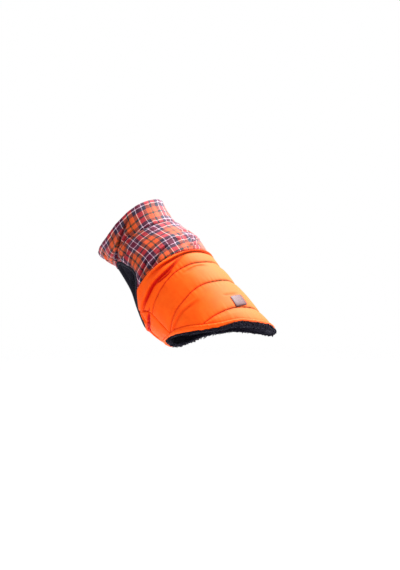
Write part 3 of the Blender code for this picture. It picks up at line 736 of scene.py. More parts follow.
def stitched(name, run, depth, material, pitch, length, radius):
    """Stitches along a run: one long bead per pitch, its section a hexagon and its ends drawn in."""
    angle, along = run[:, 0], run[:, 1]
    line = place(angle, along, depth)
    knots = np.concatenate([[0.0], np.cumsum(np.linalg.norm(np.diff(line, axis=0), axis=1))])
    middles = np.arange(pitch / 2, knots[-1], pitch)
    at = lambda values, t: np.stack([np.interp(t, knots, column) for column in values.T], -1)
    centre = at(line, middles)
    ahead = unit(at(line, middles + length / 4) - at(line, middles - length / 4))
    up = unit(at(outward(angle, along), middles))
    across = np.cross(ahead, up)
    turn = np.linspace(0, 2 * np.pi, RING, endpoint=False)
    thick, sink = BEAD_THICK[:, None] * radius, BEAD_SINK[:, None] * radius
    points = (
        centre[:, None, None]
        + ahead[:, None, None] * (BEAD_ALONG * length)[:, None, None]
        + across[:, None, None] * (thick * np.cos(turn))[..., None]
        + up[:, None, None] * (thick * np.sin(turn) - sink)[..., None]
    )
    faces = tubes(len(centre), len(BEAD_ALONG), RING)
    round_it = np.repeat(at(run[:, :1], middles)[:, 0], len(BEAD_ALONG) * RING)
    piece = cloth_object(name, points.reshape(-1, 3), faces, material, None, None, round_it)
    return piece


def thread_material(name, colour):
    """Twisted sewing thread: fine spots, a little uneven in tone, and painted shade that makes it browner where
    the key light falls hardest.
    """

    def paint(tree):
        """The thread's colour."""
        twist = mixed(tree, noise(tree, object_place(tree), 900.0, 2.0), tuple(0.7 * c for c in colour), colour)
        # Painted shade: browner where the key light falls hardest.
        brown = (0.05, 0.60, 0.60)
        return {"Base Color": mixed(tree, mark(tree, "key_lit"), twist, brown, blend_type="MULTIPLY")}

    return new_material(name, paint, Roughness=0.7, Specular_IOR_Level=0.10)


orange_thread = thread_material("orange_thread", (0.95, 0.060, 0.003))
for number, line in enumerate(QUILT_LINES):
    reach = 100.0 if number else 84.0
    run = seam_run(line, -reach, reach)
    run = run[run[:, 1] > along_at(HEM, run[:, 0]) + roll_at(run[:, 0])[0] + 0.001]
    angle, along = run.T
    sunk = padding(angle, along, 0.0) + NOTCH + creased(BACK_CREASES, angle, along)[0]
    depth = np.minimum(sunk, DEEPEST) - 0.0002
    stitched(
        f"quilting_{number + 1}", run, depth, orange_thread, pitch=0.0034, length=0.0028,
        radius=0.00042,
    )


# ---- Belly panel -----------------------------------------------------------------------------
# Orange shell cloth without quilting, joined to the back panel at both sides.  It runs under the
# body from the hem to the chest, and is drawn into short creases behind each armhole.

BELLY_CREASES = (
    crease(4.6, 5.2, 1.6, 1.45, (102, 170.5), (106, 167.5), (113, 164), (123, 161.2), (140, 161.5),
           (154, 164)),
    crease(3, 2.4, 1.2, 0.25, (118, 184), (122, 170), (121, 150)),
    crease(4, 2.2, 1.2, 0.25, (141, 168), (140, 148), (146, 126)),
    crease(5, 1.8, 1, 0.1, (160, 196), (172, 180), (190, 182)),
    crease(4, 2.6, 1.4, 0.25, (202, 190), (212, 164), (222, 146)),
    crease(3.4, 2.6, 1.4, 0.25, (238, 176), (240, 158), (236, 138)),
    crease(5, 1.4, 0.8, 0.1, (176, 152), (184, 138), (200, 134)),
)


def plain_outer(angle, along, creases, seed, slack=0.0006):
    """Outer face of an unquilted piece: seams pulled in, gathers, creases and a soft unevenness."""
    edge = np.min(from_edges(angle, along), axis=0)
    depth, painted_shade, slide = creased(creases, angle, along)
    depth += dying(edge, 0.0016, 0.005) + puckers(angle, along, edge, 0.0005, seed)
    depth += slack * cloth_noise(angle, along * 30, 64, seed + 5) + dying(edge, 0.0018, 0.0012)
    # Painted shade along the seams, and the creases' own.
    return np.minimum(depth, DEEPEST), np.maximum(0.22 * bell(edge / 0.0010), painted_shade), slide


left_edge = side_run(1)
right_edge = mirrored(side_run(-1), 180)
under_arm = armhole_run(AT_CHEST_SEAM, AT_SIDE_SEAM)[::-1]
chest_seam = np.stack([np.linspace(160, 200, 40), np.full(40, ARMHOLE[AT_CHEST_SEAM].along)], -1)
angle, along = patch(
    tucked_run(left_edge[0, 0], right_edge[0, 0]),
    joined(under_arm, chest_seam, mirrored(under_arm, 180)[::-1]),
    left_edge, right_edge, columns=161, heights=np.linspace(0, 1, 81),
)
face = plain_outer(angle, along, BELLY_CREASES, 31)
belly = walled("belly", angle, along, face, shell_cloth, round_body(angle, along))
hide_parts("belly_panel")


# ---- Rolled hem band -------------------------------------------------------------------------
# The shell's lower edge, turned under and stitched down all round with one row of orange thread.
# The roll is soft and a little gathered, so its height and fullness wander; it is fullest at the sides.

# The roll's section: share of its height up from its bottom, and depth in metres below the form.
HEM_SECTION = np.array([
    (1.02, 0.0034), (0.97, 0.0016), (0.86, 0.0001), (0.70, -0.0010), (0.50, -0.0013), (0.30, -0.0007),
    (0.12, 0.0008), (0.01, 0.0030), (0.03, 0.0050), (0.20, 0.0060), (0.60, 0.0060), (1.02, 0.0056),
])
SECTION_TURNS_IN = 7
SECTION_DEEPEST = 0.0060
HEM_COLUMNS = 480


def once_round(values):
    """A ring's columns with the first one again at the end."""
    return np.concatenate([values, values[:1]])


def ring_object(name, angle, along, depth, material, pattern=None, painted_shade=None):
    """A closed ring: columns round the body, rows round a closed section.  `pattern` has one column and one row
    more, where the cloth's ends meet."""
    index = once_round(np.arange(angle.size).reshape(angle.shape))
    faces = grid_faces(np.concatenate([index, index[:, :1]], axis=1)).tolist()
    if pattern is not None:
        size = pattern.shape[:2]
        pattern = pattern.reshape(-1, 2)[grid_faces(np.arange(size[0] * size[1]).reshape(size)).ravel()]
    points = place(angle, along, depth).reshape(-1, 3)
    return cloth_object(name, points, faces, material, pattern, painted_shade, angle.ravel())


def ring_angles(columns):
    """Angles once round the body, from the belly line."""
    return np.linspace(-180, 180, columns, endpoint=False)[:, None]


angle = ring_angles(HEM_COLUMNS)
fullness = 1 + 0.30 * cloth_noise(angle, 3.0 + 0 * angle, 128, 41)
fullness += 0.25 * cloth_noise(angle, 9.0 + 0 * angle, 256, 42)
top, bottom, thick = roll_at(angle)
height = (top - bottom) * (1 + 0.06 * cloth_noise(angle, 5.0 + 0 * angle, 64, 43))
along = along_at(HEM, angle) + top - (1 - HEM_SECTION[:, 0]) * height
section = HEM_SECTION[None, :, 1]
outside = np.where(section < 0.0012, section * fullness, section)
inside = np.arange(len(HEM_SECTION)) >= SECTION_TURNS_IN
proud = np.where(inside, section * thick / SECTION_DEEPEST, outside)
proud = proud + 0.0003 * cloth_noise(angle, along * 60, 448, 44)
wide = np.broadcast_to(angle, along.shape)
arc = np.concatenate([wide, 180 + 0 * wide[:1]])
arc = np.concatenate([arc, arc[:, :1]], axis=1)
section_arc = np.linspace(0, 0.03, along.shape[1] + 1)[None] + 0 * arc
hem = ring_object("hem_roll", wide, along, proud, shell_cloth, np.stack([arc * FLAT_DEGREE, section_arc], -1))
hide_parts("hem_band")
run = seam_run(HEM, -180, 179.99)
run[:, 1] += roll_at(run[:, 0])[0] - 0.0007
run = read_run(run, np.linspace(0, 1, HEM_COLUMNS))
thread = stitched(
    "hem_stitching", run, 0.0009, orange_thread, pitch=0.0034, length=0.0027, radius=0.0004,
)


# ---- Plaid yoke ------------------------------------------------------------------------------
# Brushed cotton check over the shoulders, eased onto the neck seam and the armholes.  The cloth is
# woven in a square sett of green, orange, navy, white and burgundy threads.

COLLAR_SEAM = table(
    Place,
    (-180, 318), (-80, 317), (-50, 311), (-15, 306), (15, 306), (50, 311), (80, 317), (180, 318),
)
SHOULDER_SEAM = table(
    Place,
    (133, 300), (131, 309), (128, 319),
)
CHECK = 0.0565
CHECK_MIDDLE = np.array([0.0222, 0.2715])
YOKE_CREASES = (
    crease(3.2, 4.8, -2.6, 1, (131, 298.5), (121, 303.5), (111, 310), (101, 317)),
    crease(3.2, 2.6, 1.4, 0.25, (122, 302), (106, 292), (90, 290)),
    crease(2.8, 2.2, 1.2, 0.25, (108, 276), (98, 285), (86, 296)),
    crease(2.8, 1.8, 1, 0.1, (98, 258), (90, 268), (82, 281)),
    crease(3.1, 5.2, 3, 0.9, (33, 241.8), (47, 239.6), (55, 233.5), (62, 227.7), (68, 224.2), (78, 221.5)),
    crease(2.4, 4.2, 2.2, 0.8, (66, 245), (75, 236.1), (81, 230), (88, 222.8)),
    crease(4.6, -2.8, 0.2, 0, (46, 253), (35, 257.5), (26, 256), (19, 248), (14, 239)),
    crease(2.2, 2, 1.2, 0.2, (26, 249), (17, 250), (8, 253)),
    crease(2.2, 3.6, 2.4, 0.7, (8, 250), (2, 244), (-4, 235)),
    crease(2.2, 3.6, 2.4, 0.7, (5, 230), (-7, 235), (-18, 243)),
    crease(2.4, 3.2, 2.2, 0.6, (-4, 253), (-14, 246), (-24, 237)),
    crease(2.2, 2.8, 2, 0.5, (14, 225), (0, 223.2), (-14, 226.2)),
    crease(2.4, 2.2, 1.4, 0.2, (8, 241), (15, 234), (25, 229)),
    crease(4, 1.6, 1, 0.1, (-20, 256), (-6, 262), (10, 264)),
    crease(3, 2.4, 1.2, 0.25, (64, 309), (82, 306), (98, 298)),
    crease(4, 3.4, 1.8, 0.5, (-132, 302), (-112, 312), (-98, 318)),
    crease(3, 2.2, 1.2, 0.25, (-112, 282), (-98, 288), (-84, 296)),
    crease(3.4, 2.4, 1.4, 0.25, (-96, 240), (-84, 236), (-62, 229)),
    crease(4, 1.4, 0.8, 0.1, (-62, 250), (-44, 243), (-26, 241)),
)

# Half of the sett, outwards from the middle of the green stripe: where each colour starts.
Stripe = namedtuple("Stripe", "start colour")
SETT = (
    Stripe(0.0, (0.022, 0.032, 0.020)),
    Stripe(0.033, (0.71, 0.088, 0.017)),
    Stripe(0.212, (0.030, 0.016, 0.036)),
    Stripe(0.355, (1.00, 0.78, 0.88)),
    Stripe(0.386, (0.122, 0.005, 0.028)),
)
ORANGE_STARTS, ORANGE_ENDS, BURGUNDY_STARTS = SETT[1].start, SETT[2].start, SETT[4].start
WANDER = 0.0009


def check_group():
    """Sett of one thread direction: distance from the green stripe's middle, there and back once a repeat,
    picks the thread's colour, and tells where the thread is burgundy and where it is orange."""
    inputs = {"Across": ("Float", 0.0), "Repeat": ("Float", CHECK)}
    outputs = {"Color": "Color", "Burgundy": "Float", "Orange": "Float"}
    group, (across, repeat), give = new_group("check_sett", inputs, outputs)
    there = maths(group, "PINGPONG", maths(group, "DIVIDE", across, repeat), 0.5)
    ramp = node(group, "ValToRGB", there)
    ramp.color_ramp.interpolation = "CONSTANT"
    stops = ramp.color_ramp.elements
    stops.remove(stops[1])
    stops[0].position = SETT[0].start
    stops[0].color = (*SETT[0].colour, 1.0)
    for stripe in SETT[1:]:
        stops.new(stripe.start).color = (*stripe.colour, 1.0)
    middle, half = (ORANGE_STARTS + ORANGE_ENDS) / 2, (ORANGE_ENDS - ORANGE_STARTS) / 2
    give(ramp.outputs["Color"], maths(group, "GREATER_THAN", there, BURGUNDY_STARTS),
         maths(group, "COMPARE", there, middle, half))
    return group


check_sett = check_group()


def plaid_paint(tree):
    """Brushed twill: warp and weft setts cross, a fine diagonal decides which thread is on top; a painted sheen
    makes it paler where the key light falls hardest, and painted shade darkens its folds and seams."""
    cloth = cloth_place(tree)
    wander = node(tree, "TexNoise", cloth, Scale=420.0, Detail=3.0, Roughness=0.6).outputs["Color"]
    centred = node(tree, "VectorMath", wander, (0.5, 0.5, 0.5), operation="SUBTRACT").outputs[0]
    nudged = node(tree, "VectorMath", centred, (0.0006, 0.0006, 0.0), cloth, operation="MULTIPLY_ADD")
    x, y = node(tree, "SeparateXYZ", nudged.outputs[0]).outputs[:2]
    warp, weft = (node(tree, "Group", across, node_tree=check_sett).outputs for across in (x, y))
    rib = maths(tree, "PINGPONG", maths(tree, "DIVIDE", maths(tree, "ADD", x, y), 0.0009), 0.5)
    on_top = mixed(tree, spread(tree, rib, 0.12, 0.38, 0.22, 0.78), warp["Color"], weft["Color"])
    deep = mixed(tree, 1.0, warp["Color"], weft["Color"], blend_type="MULTIPLY")
    woven = mixed(tree, 0.45, on_top, node(tree, "Gamma", deep, 0.5).outputs[0])
    one_way = maths(tree, "MULTIPLY", warp["Burgundy"], weft["Orange"])
    other_way = maths(tree, "MULTIPLY_ADD", weft["Burgundy"], warp["Orange"], one_way)
    crimson = mixed(tree, maths(tree, "MULTIPLY", other_way, 0.75), woven, (0.42, 0.016, 0.034))
    nap = noise(tree, cloth, 900.0, 5.0)
    fuzz = spread(tree, nap, 0.3, 0.7, 0.80, 1.16)
    brushed = node(tree, "VectorMath", crimson, Scale=fuzz, operation="SCALE").outputs[0]
    # Painted sheen: paler where the key light falls hardest.
    pale = mixed(tree, maths(tree, "MULTIPLY", mark(tree, "key_lit"), 0.11), brushed, (0.34, 0.50, 0.56))
    # Painted shade in folds and seams.
    shaded_colour = mixed(tree, mark(tree, "painted_shade"), pale, (0.30, 0.22, 0.32), blend_type="MULTIPLY")
    return {"Base Color": shaded_colour, "Normal": bumped(tree, maths(tree, "ADD", nap, rib), 0.5, 0.0004)}


plaid_cloth = new_material(
    "plaid_flannel_cloth", plaid_paint, Roughness=0.9, Specular_IOR_Level=0.12, Sheen_Weight=0.46,
    Sheen_Roughness=0.36, Sheen_Tint=(1.0, 0.82, 0.92),
)


def drawn_askew(angle, along, seed):
    return WANDER * np.stack([cloth_noise(angle, along * 60, 64, seed + k) for k in (0, 1)], -1)


def yoke_cloth(angle, along):
    """Place on the check: arc from the spine, and `along` eased by an eighth and bowed down at the sides."""
    arc = round_body(angle, along)[..., 0]
    bow = 2.2 * np.maximum(np.abs(arc) - 0.058, 0) ** 2
    return (np.stack([arc, along + bow], -1) - CHECK_MIDDLE) * (1, 1.13) + drawn_askew(angle, along, 81)


def yoke_outer(angle, along):
    """Outer face of the yoke: unquilted, with bells of slack over the shoulders and below the collar."""
    depth, painted_shade, slide = plain_outer(angle, along, YOKE_CREASES, 51, 0.0008)
    depth -= 0.0024 * bell((along - 0.249) / 0.013, (angle + 30) / 40)
    return depth - 0.0020 * bell((along - 0.297) / 0.007, (angle + 10) / 50), painted_shade, slide


def shoulder():
    """The shoulder seam, from the armhole up to the collar seam."""
    run = up_run(SHOULDER_SEAM, SHOULDER_SEAM[0].along)
    run[-1, 1] = along_at(COLLAR_SEAM, run[-1, 0])
    return run


edge = joined(armhole_run(AT_YOKE_SEAM, AT_SHOULDER), shoulder())
angle, along = patch(
    seam_run(YOKE_SEAM, -edge[0, 0], edge[0, 0]),
    seam_run(COLLAR_SEAM, -edge[-1, 0], edge[-1, 0]),
    mirrored(edge), edge, columns=257, heights=np.linspace(0, 1, 101),
)
yoke = walled("yoke_check", angle, along, yoke_outer(angle, along), plaid_cloth, yoke_cloth(angle, along))
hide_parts("yoke")


# ---- Chest panel -----------------------------------------------------------------------------
# The same check between the armholes, in front, from the belly panel to the collar.  It is cut
# plain, and slack cloth drops into a few soft creases.

CHEST_CREASES = (
    crease(5, 2.8, 1.6, 0.25, (146, 300), (164, 292), (182, 294)),
    crease(5, 2.2, 1.2, 0.25, (170, 278), (186, 270), (200, 272)),
    crease(4.5, 1.8, 1, 0.1, (168, 236), (180, 228), (194, 232)),
    crease(4, 2, 1, 0.1, (208, 306), (196, 298), (186, 302)),
)
edge = joined(armhole_run(AT_SHOULDER, AT_CHEST_SEAM)[::-1], shoulder())
angle, along = patch(
    chest_seam,
    seam_run(COLLAR_SEAM, edge[-1, 0], 360 - edge[-1, 0]),
    edge, mirrored(edge, 180), columns=121, heights=np.linspace(0, 1, 129),
)
face = plain_outer(angle, along, CHEST_CREASES, 61)
chest = walled("chest_check", angle, along, face, plaid_cloth, round_body(angle, along) - CHECK_MIDDLE)
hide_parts("chest_panel")


# ---- Stand-up collar -------------------------------------------------------------------------
# A funnel of the same check, folded over at its rim, that stands up round the neck.  In front it
# sags over its own seam, with one deep fold on each side.

COLLAR_TOP = table(
    Place,
    (-180, 362), (-130, 361), (-100, 359), (-75, 362), (-45, 365), (0, 363), (45, 365.5), (75, 362),
    (100, 358.5), (130, 361), (180, 362),
)
COLLAR_CREASES = (
    crease(3.6, 5.4, -4.4, 1, (112, 317), (104, 319.5), (97, 325), (89, 331), (81, 336.8), (73, 342),
           (65, 347.5), (59, 353)),
    crease(2.4, 3.4, 1.8, 0.6, (60, 323.5), (70, 324.5), (80, 323.5), (92, 320)),
    crease(4.2, 4.6, -3.2, 0.9, (-80, 341), (-96, 330), (-116, 314), (-128, 306)),
    crease(4, 2.2, 1.4, 0.25, (128, 346), (142, 336), (158, 334)),
    crease(4, 1.2, 0.6, 0.1, (-40, 322), (-22, 328), (-4, 326)),
    crease(4, 2, 1, 0.1, (-166, 332), (-152, 328), (-140, 334)),
)
COLLAR_ROUND = 0.0016


def collar_wall(name, outer, inner, material, pattern, columns, rows, short=0.0):
    """A ring wall: up its outside, over a rounded top and down its inside, from the collar seam to the collar's
    top or a little short of it."""
    angle = ring_angles(columns)
    bottom = along_at(COLLAR_SEAM, angle) + 0.0002
    top = along_at(COLLAR_TOP, angle) - short - COLLAR_ROUND
    along = bottom + (top - bottom) * np.linspace(0, 1, rows)
    wide = np.broadcast_to(angle, along.shape)
    (out_depth, painted_shade, slide), in_depth = outer(wide, along), inner(wide, along)
    turn = np.linspace(0, np.pi, 7)[None, 1:-1]
    middle, half = (out_depth[:, -1:] + in_depth[:, -1:]) / 2, (in_depth[:, -1:] - out_depth[:, -1:]) / 2
    depth = np.concatenate([out_depth, middle - half * np.cos(turn), in_depth[:, ::-1]], axis=1)
    none = np.zeros((columns, rows + turn.size))
    painted_shade, slid_angle, slid_along = (
        np.concatenate([v, none], axis=1) for v in (painted_shade, slide[..., 0] / FLAT_DEGREE, slide[..., 1])
    )
    along = np.concatenate([along, top + COLLAR_ROUND * np.sin(turn), along[:, ::-1]], axis=1)
    wide = np.broadcast_to(angle, along.shape)
    cloth = pattern(np.concatenate([wide, 180 + 0 * wide[:1]]), once_round(along))
    cloth = np.concatenate([cloth, cloth[:, :1]], axis=1)
    return ring_object(name, wide + slid_angle, along + slid_along, depth, material, cloth, painted_shade.ravel())


def collar_outer(angle, along):
    """Outer face of the collar: seam pull, rim roll, gathers and folds, and in front a bell of cloth that
    stands out and hangs over the seam."""
    foot = along - along_at(COLLAR_SEAM, angle)
    rim_below = along_at(COLLAR_TOP, angle) - along
    depth, painted_shade, slide = creased(COLLAR_CREASES, angle, along)
    sag = bell((angle - 113) / 17) + 0.6 * bell((angle + 118) / 20)
    depth -= 0.0046 * sag * bell((foot - 0.012) / 0.011)
    slide[..., 1] -= 0.0044 * sag * bell((foot - 0.008) / 0.007)
    depth += dying(foot, 0.0018, 0.005) + dying(foot, 0.0024, 0.0014) + puckers(angle, along, foot, 0.0005, 71)
    depth += 0.0007 * cloth_noise(angle, along * 30, 64, 73) - 0.0012 * bell((rim_below - 0.006) / 0.004)
    # Painted shade along the collar seam.
    painted_shade = np.maximum(painted_shade, 0.35 * bell(foot / 0.0012))
    return np.minimum(depth, DEEPEST), painted_shade, slide * np.clip(rim_below / 0.006, 0, 1)[..., None]


def collar_cloth(angle, along):
    """Place on the check: arc from the spine with a slight lean, and height below the rim."""
    below = along_at(COLLAR_TOP, angle) - along
    across = round_body(angle, along)[..., 0] - 0.12 * (below - 0.009) - CHECK_MIDDLE[0]
    return np.stack([across, below - 0.0290], -1) + drawn_askew(angle, along, 91)


def all_shell(angle, along):
    """The plain inside of the shell."""
    return np.full(np.shape(angle), SHELL)


collar = collar_wall(
    "collar_check", collar_outer, all_shell, plaid_cloth, collar_cloth, columns=416, rows=44,
)
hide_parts("collar")


# ---- Pile lining -----------------------------------------------------------------------------
# Black sherpa, cut as a back, a belly and a collar.  The pile curls into soft lumps a few
# millimetres across, hangs past the hem at the back and shows wherever the vest is open.

HEM_PEEP_BACK = 0.0054
HEM_PEEP_BELLY = 0.0010
LUMP = 0.0042


def lumps(points, size, seed):
    """Curled pile: domes round scattered points, sqrt(1 - d^2) to the nearest of one point per cell of a
    lattice."""
    cell = np.floor(points / size).astype(np.int64)
    best = np.full(len(points), 9.0)
    for shift in np.stack(np.meshgrid(*[[-1, 0, 1]] * 3, indexing="ij"), -1).reshape(-1, 3):
        there = cell + shift
        mix = (there[:, 0] * 73856093) ^ (there[:, 1] * 19349663) ^ (there[:, 2] * 83492791) ^ seed
        jitter = np.stack([((mix * k) % 1009) / 1009.0 for k in (7, 11, 13)], -1)
        best = np.minimum(best, np.sum(((there + jitter) * size - points) ** 2, axis=1))
    return np.sqrt(np.clip(1 - best / (0.9 * size) ** 2, 0, 1))


def pile_paint(tree):
    """Matt black pile with a bluish cast: painted light on the curls' tips and painted shade at their roots."""
    where = object_place(tree)
    curl = node(tree, "TexVoronoi", where, Scale=620.0).outputs["Distance"]
    relief = maths(tree, "SUBTRACT", noise(tree, where, 1400.0, 3.0), curl)
    # Painted light on the tips, painted shade in the hollows between curls.
    tone = mixed(tree, curl, (0.013, 0.010, 0.025), (0.003, 0.003, 0.006))
    return {"Base Color": tone, "Normal": bumped(tree, relief, 0.9, 0.0012)}


sherpa = new_material(
    "black_sherpa", pile_paint, Roughness=0.95, Specular_IOR_Level=0.12, Sheen_Weight=0.10, Sheen_Roughness=0.4,
    Sheen_Tint=(0.55, 0.58, 0.75),
)


def hem_peep(angle):
    """How far the lining hangs past the hem: most at the back, a little less on the right of it."""
    share = (1 + np.cos(np.radians(angle))) / 2
    return 0.0014 * bell((angle + 42) / 24) - (HEM_PEEP_BELLY + (HEM_PEEP_BACK - HEM_PEEP_BELLY) * share)


def pile_wall(name, first, last, columns, rows):
    """A closed lining between two side edges, from the hem to the collar seam: its inner face in curled lumps,
    its outer face plain but for a lumpy free edge."""
    bottom = seam_run(HEM, first[0, 0], last[0, 0])
    bottom[:, 1] += hem_peep(bottom[:, 0])
    top = seam_run(COLLAR_SEAM, first[-1, 0], last[-1, 0])
    angle, along = patch(bottom, top, first, last, columns, np.linspace(0, 1, rows))
    low = from_edges(angle, along)[2]
    inner, outer, out = place(angle, along, LINING_IN), place(angle, along, LINING_OUT), outward(angle, along)
    free = np.exp(-low / 0.006)
    curl_in, curl_out = (
        lumps(face.reshape(-1, 3), LUMP, seed).reshape(angle.shape) for face, seed in ((inner, 5), (outer, 9))
    )
    inner = inner + out * (0.0012 - 0.0024 * curl_in + 0.0008 * free)[..., None]
    swell = 0.0060 - roll_at(angle)[2]
    outer = outer + out * (free * (swell + 0.0022 * curl_out - 0.0010) * (low > 0))[..., None]
    face_out = np.arange(angle.size).reshape(angle.shape)
    face_in = face_out + angle.size
    rim_out, rim_in = rim(face_out), rim(face_in)
    strip = np.column_stack([rim_out, np.roll(rim_out, -1), np.roll(rim_in, -1), rim_in])
    faces = grid_faces(face_out).tolist() + grid_faces(face_in)[:, ::-1].tolist() + strip.tolist()
    return cloth_object(name, np.concatenate([outer.reshape(-1, 3), inner.reshape(-1, 3)]), faces, sherpa)


def lining_sides(armhole):
    """Both side edges of a cut of lining, told in the left side's angles."""
    seam = SIDE_SEAM[1].angle
    return [joined(side_run(side, float(hem_peep(side * seam))), armhole, shoulder()) for side in (1, -1)]


left_side, right_side = lining_sides(armhole_run(AT_SIDE_SEAM, AT_SHOULDER))
lining_back = pile_wall("sherpa_back", mirrored(right_side), left_side, columns=201, rows=161)
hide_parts("lining_back")

HEM_CURLS = 2700
CURL_LENGTH = 0.0042
CURL_RADIUS = 0.00150


def hem_curls(count, seed):
    """Loose tufts of pile that fill the lining's edge below the hem roll: each bends along root + length x
    (t aim + 0.8 t^2 (side - 0.7 aim)) with a hexagon of radius x sqrt(1 - 0.9 (1.6 t - 0.6)^2) round it; the
    shallow ones lean outwards, the deep ones inwards, and tufts near each other lean alike."""
    random = np.random.default_rng(seed)
    angle = random.uniform(-180, 180, count)
    top, bottom, thick = roll_at(angle)
    hang = hem_peep(angle)
    share = random.uniform(0, 1, count)
    depth = (thick - 0.0020) + (LINING_IN - thick + 0.0020) * share
    reach = np.where(share < 0.5, bottom - hang + 0.0004, 0.0045)
    along = along_at(HEM, angle) + hang + random.uniform(-0.0002, 1.0, count) * reach
    root = place(angle, along, depth)
    out = outward(angle, along)
    past = unit(place(angle, along - 0.001, depth) - root)
    clump = soft_noise(angle * 320 / 360, along * 300, seed)[:, None]
    aim = past * random.uniform(0.3, 1.0, (count, 1))
    aim += out * (0.7 - 1.3 * share + random.uniform(-0.3, 0.3, count))[:, None]
    aim += np.cross(out, past) * (0.7 * clump + random.uniform(-0.3, 0.3, (count, 1)))
    aim = unit(aim)
    side = unit(np.cross(aim, random.normal(size=(count, 3))))
    length = CURL_LENGTH * random.uniform(0.6, 1.0, (count, 1, 1))
    t = np.linspace(0, 1, 6)[None, :, None]
    spine = root[:, None] + length * (t * aim[:, None] + 0.8 * t**2 * (side - 0.7 * aim)[:, None])
    turn = np.linspace(0, 2 * np.pi, RING, endpoint=False)[:, None]
    ring = side[:, None, None] * np.cos(turn) + np.cross(aim, side)[:, None, None] * np.sin(turn)
    radius = CURL_RADIUS * random.uniform(0.75, 1.1, (count, 1, 1, 1))
    points = spine[:, :, None] + radius * np.sqrt(1 - 0.9 * (1.6 * t[..., None] - 0.6) ** 2) * ring
    return cloth_object("sherpa_curls", points.reshape(-1, 3), tubes(count, t.size, RING), sherpa)


curls = hem_curls(HEM_CURLS, 8)

left_side, right_side = lining_sides(armhole_run(AT_SHOULDER, AT_SIDE_SEAM)[::-1])
lining_belly = pile_wall("sherpa_belly", left_side, mirrored(right_side, 180), columns=121, rows=141)
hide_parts("lining_belly")


def pile_inner(angle, along):
    """Inner face of the collar's pile, in curled lumps."""
    face = place(angle, along, LINING_IN)
    return LINING_IN - 0.0012 + 0.0024 * lumps(face.reshape(-1, 3), LUMP, 5).reshape(angle.shape)


def pile_outer(angle, along):
    """Plain outer face of the collar's lining, with no painted shade and no slide."""
    none = np.zeros(np.shape(angle))
    return none + LINING_OUT, none, np.zeros((*none.shape, 2))


lining_collar = collar_wall(
    "sherpa_collar", pile_outer, pile_inner, sherpa, round_body, columns=300, rows=34, short=0.0020,
)
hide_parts("lining_collar")


# ---- Armhole bindings ------------------------------------------------------------------------
# Black rib-knit tape folded over the raw edges of shell and lining and sewn through both.  Its ribs
# run across the tape and bunch a little on the inside of the curve.

BINDING_WIDTH = 0.0066
BINDING_TOP = 0.0008
BINDING_BOTTOM = 0.0112
BINDING_LAP = 0.0006
RIBS = 150
POINTS_TO_A_RIB = 4


def knit_paint(tree):
    """Matt black knit: fine noise on the ribs that the mesh carries."""
    fuzz = noise(tree, object_place(tree), 1100.0, 4.0)
    tone = mixed(tree, fuzz, (0.004, 0.004, 0.009), (0.010, 0.009, 0.020))
    return {"Base Color": tone, "Normal": bumped(tree, fuzz, 0.6, 0.0003)}


rib_knit = new_material(
    "black_rib_knit", knit_paint, Roughness=0.85, Sheen_Weight=0.08, Specular_IOR_Level=0.25,
    Sheen_Tint=(0.6, 0.6, 0.75),
)


def bound_edge(name, side):
    """Tape round one armhole: a half-round section into the hole, its radius pulsing once for each rib."""
    lap = read_run(armhole_run(0, 0), np.linspace(0, 1, RIBS * POINTS_TO_A_RIB + 1))[:-1]
    points = flat(lap[:, 0], lap[:, 1])
    tangent = unit(np.roll(points, -1, axis=0) - np.roll(points, 1, axis=0))
    into = np.stack([tangent[:, 1], -tangent[:, 0]], -1)
    turn = np.linspace(0, 2 * np.pi, 16, endpoint=False)[None]
    x, y = np.cos(turn), np.sin(turn)
    rib = 1 + 0.055 * np.cos(np.arange(len(lap)) * 2 * np.pi / POINTS_TO_A_RIB)[:, None]
    reach = BINDING_WIDTH * (0.5 - 0.5 * rib * np.sign(x) * np.abs(x) ** 0.8)
    middle, half = (BINDING_TOP + BINDING_BOTTOM) / 2, (BINDING_BOTTOM - BINDING_TOP) / 2
    depth = middle - rib * half * np.sign(y) * np.abs(y) ** 0.7
    rows = points[:, None] + into[:, None] * (reach - BINDING_LAP)[..., None]
    angle, along = rows[..., 0] / FLAT_DEGREE, rows[..., 1]
    if side < 0:
        angle, along, depth = -angle[::-1], along[::-1], depth[::-1]
    piece = ring_object(name, angle, along, depth, rib_knit)
    return piece


for side, word in ((1, "left"), (-1, "right")):
    binding = bound_edge(f"rib_binding_{word}", side)
    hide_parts(f"armhole_binding_{word}")


# ---- Leather patch ---------------------------------------------------------------------------
# A bare brown leather patch with rounded corners, sewn down near the hem beside the spine.  Its
# edge is darker and slightly thinned where it was cut and stitched.

LABEL_CENTRE = Place(0.5, 0.0656)
LABEL_HALF_ANGLE = 10.0
LABEL_HALF_HEIGHT = 0.0131
LABEL_THICKNESS = 0.0018
STITCHED_AT = 0.88

# The patch's rings, from its middle out over the edge and under: share of its half size, and lift.
LABEL_SHARE = np.array([0.25, 0.5, 0.7, 0.84, 0.92, 0.97, 1.0, 1.0, 0.9, 0.6, 0.3])
LABEL_LIFT = np.array([1.0, 1.0, 1.0, 0.97, 0.86, 0.84, 0.62, 0.0, -0.02, -0.02, -0.02])


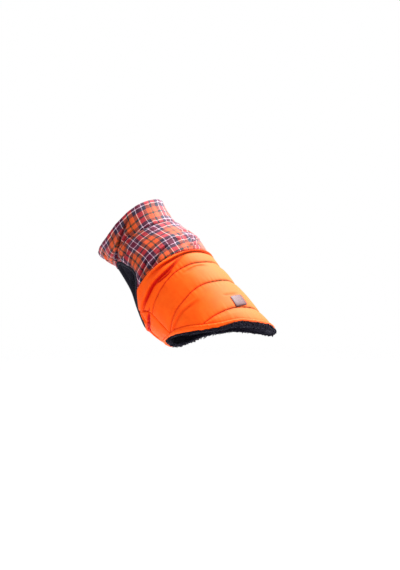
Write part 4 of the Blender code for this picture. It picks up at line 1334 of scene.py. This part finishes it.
def leather_paint(tree):
    """Smooth, slightly glossy leather: fine grain, darker towards the cut edge."""
    cloth = cloth_place(tree)
    off_middle = node(tree, "VectorMath", cloth, operation="ABSOLUTE").outputs[0]
    x, y = node(tree, "SeparateXYZ", off_middle).outputs[:2]
    edge = spread(tree, maths(tree, "MAXIMUM", x, y), 0.80, 0.94)
    where = object_place(tree)
    tone = mixed(tree, noise(tree, where, 180.0, 4.0), (0.128, 0.045, 0.054), (0.080, 0.028, 0.034))
    grain = node(tree, "TexVoronoi", where, Scale=1500.0).outputs["Distance"]
    edged = mixed(tree, edge, tone, (0.080, 0.016, 0.014))
    return {"Base Color": edged, "Normal": bumped(tree, grain, 0.4, 0.0002)}


leather = new_material("brown_leather_patch", leather_paint, Roughness=0.52, Specular_IOR_Level=0.44)


def on_patch(turn, share, lift):
    """Places on the patch and their depth: rings pressed to a rounded square, |x|^8 + |y|^8 = r^8, lifted off
    the back's own wadded ground."""
    square = share * (np.abs(np.cos(turn)) ** 8 + np.abs(np.sin(turn)) ** 8) ** (-1 / 8)
    x, y = square * np.cos(turn), square * np.sin(turn)
    angle = LABEL_CENTRE.angle + LABEL_HALF_ANGLE * x
    along = LABEL_CENTRE.along + LABEL_HALF_HEIGHT * y
    ground = padding(angle, along, quilt_distance(angle, along)) + 0.0001
    return x, y, angle, along, ground - LABEL_THICKNESS * lift


turn = np.linspace(0, 2 * np.pi, 96, endpoint=False)[:, None]
x, y, angle, along, depth = on_patch(turn, LABEL_SHARE, LABEL_LIFT)
index = once_round(np.arange(angle.size).reshape(angle.shape))
faces = grid_faces(index).tolist() + [index[:-1, 0].tolist(), index[:-1, -1][::-1].tolist()]
points = place(angle, along, depth).reshape(-1, 3)
label = cloth_object("leather_patch", points, faces, leather, np.stack([x, y], -1).reshape(-1, 2))
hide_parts("label")
x, y, angle, along, depth = on_patch(np.linspace(0, 2 * np.pi, 200), STITCHED_AT, 0.92)
brown_thread = thread_material("brown_thread", (0.16, 0.05, 0.035))
run = np.stack([angle, along], -1)
thread = stitched(
    "patch_stitching", run, depth, brown_thread, pitch=0.0026, length=0.0020, radius=0.00030,
)
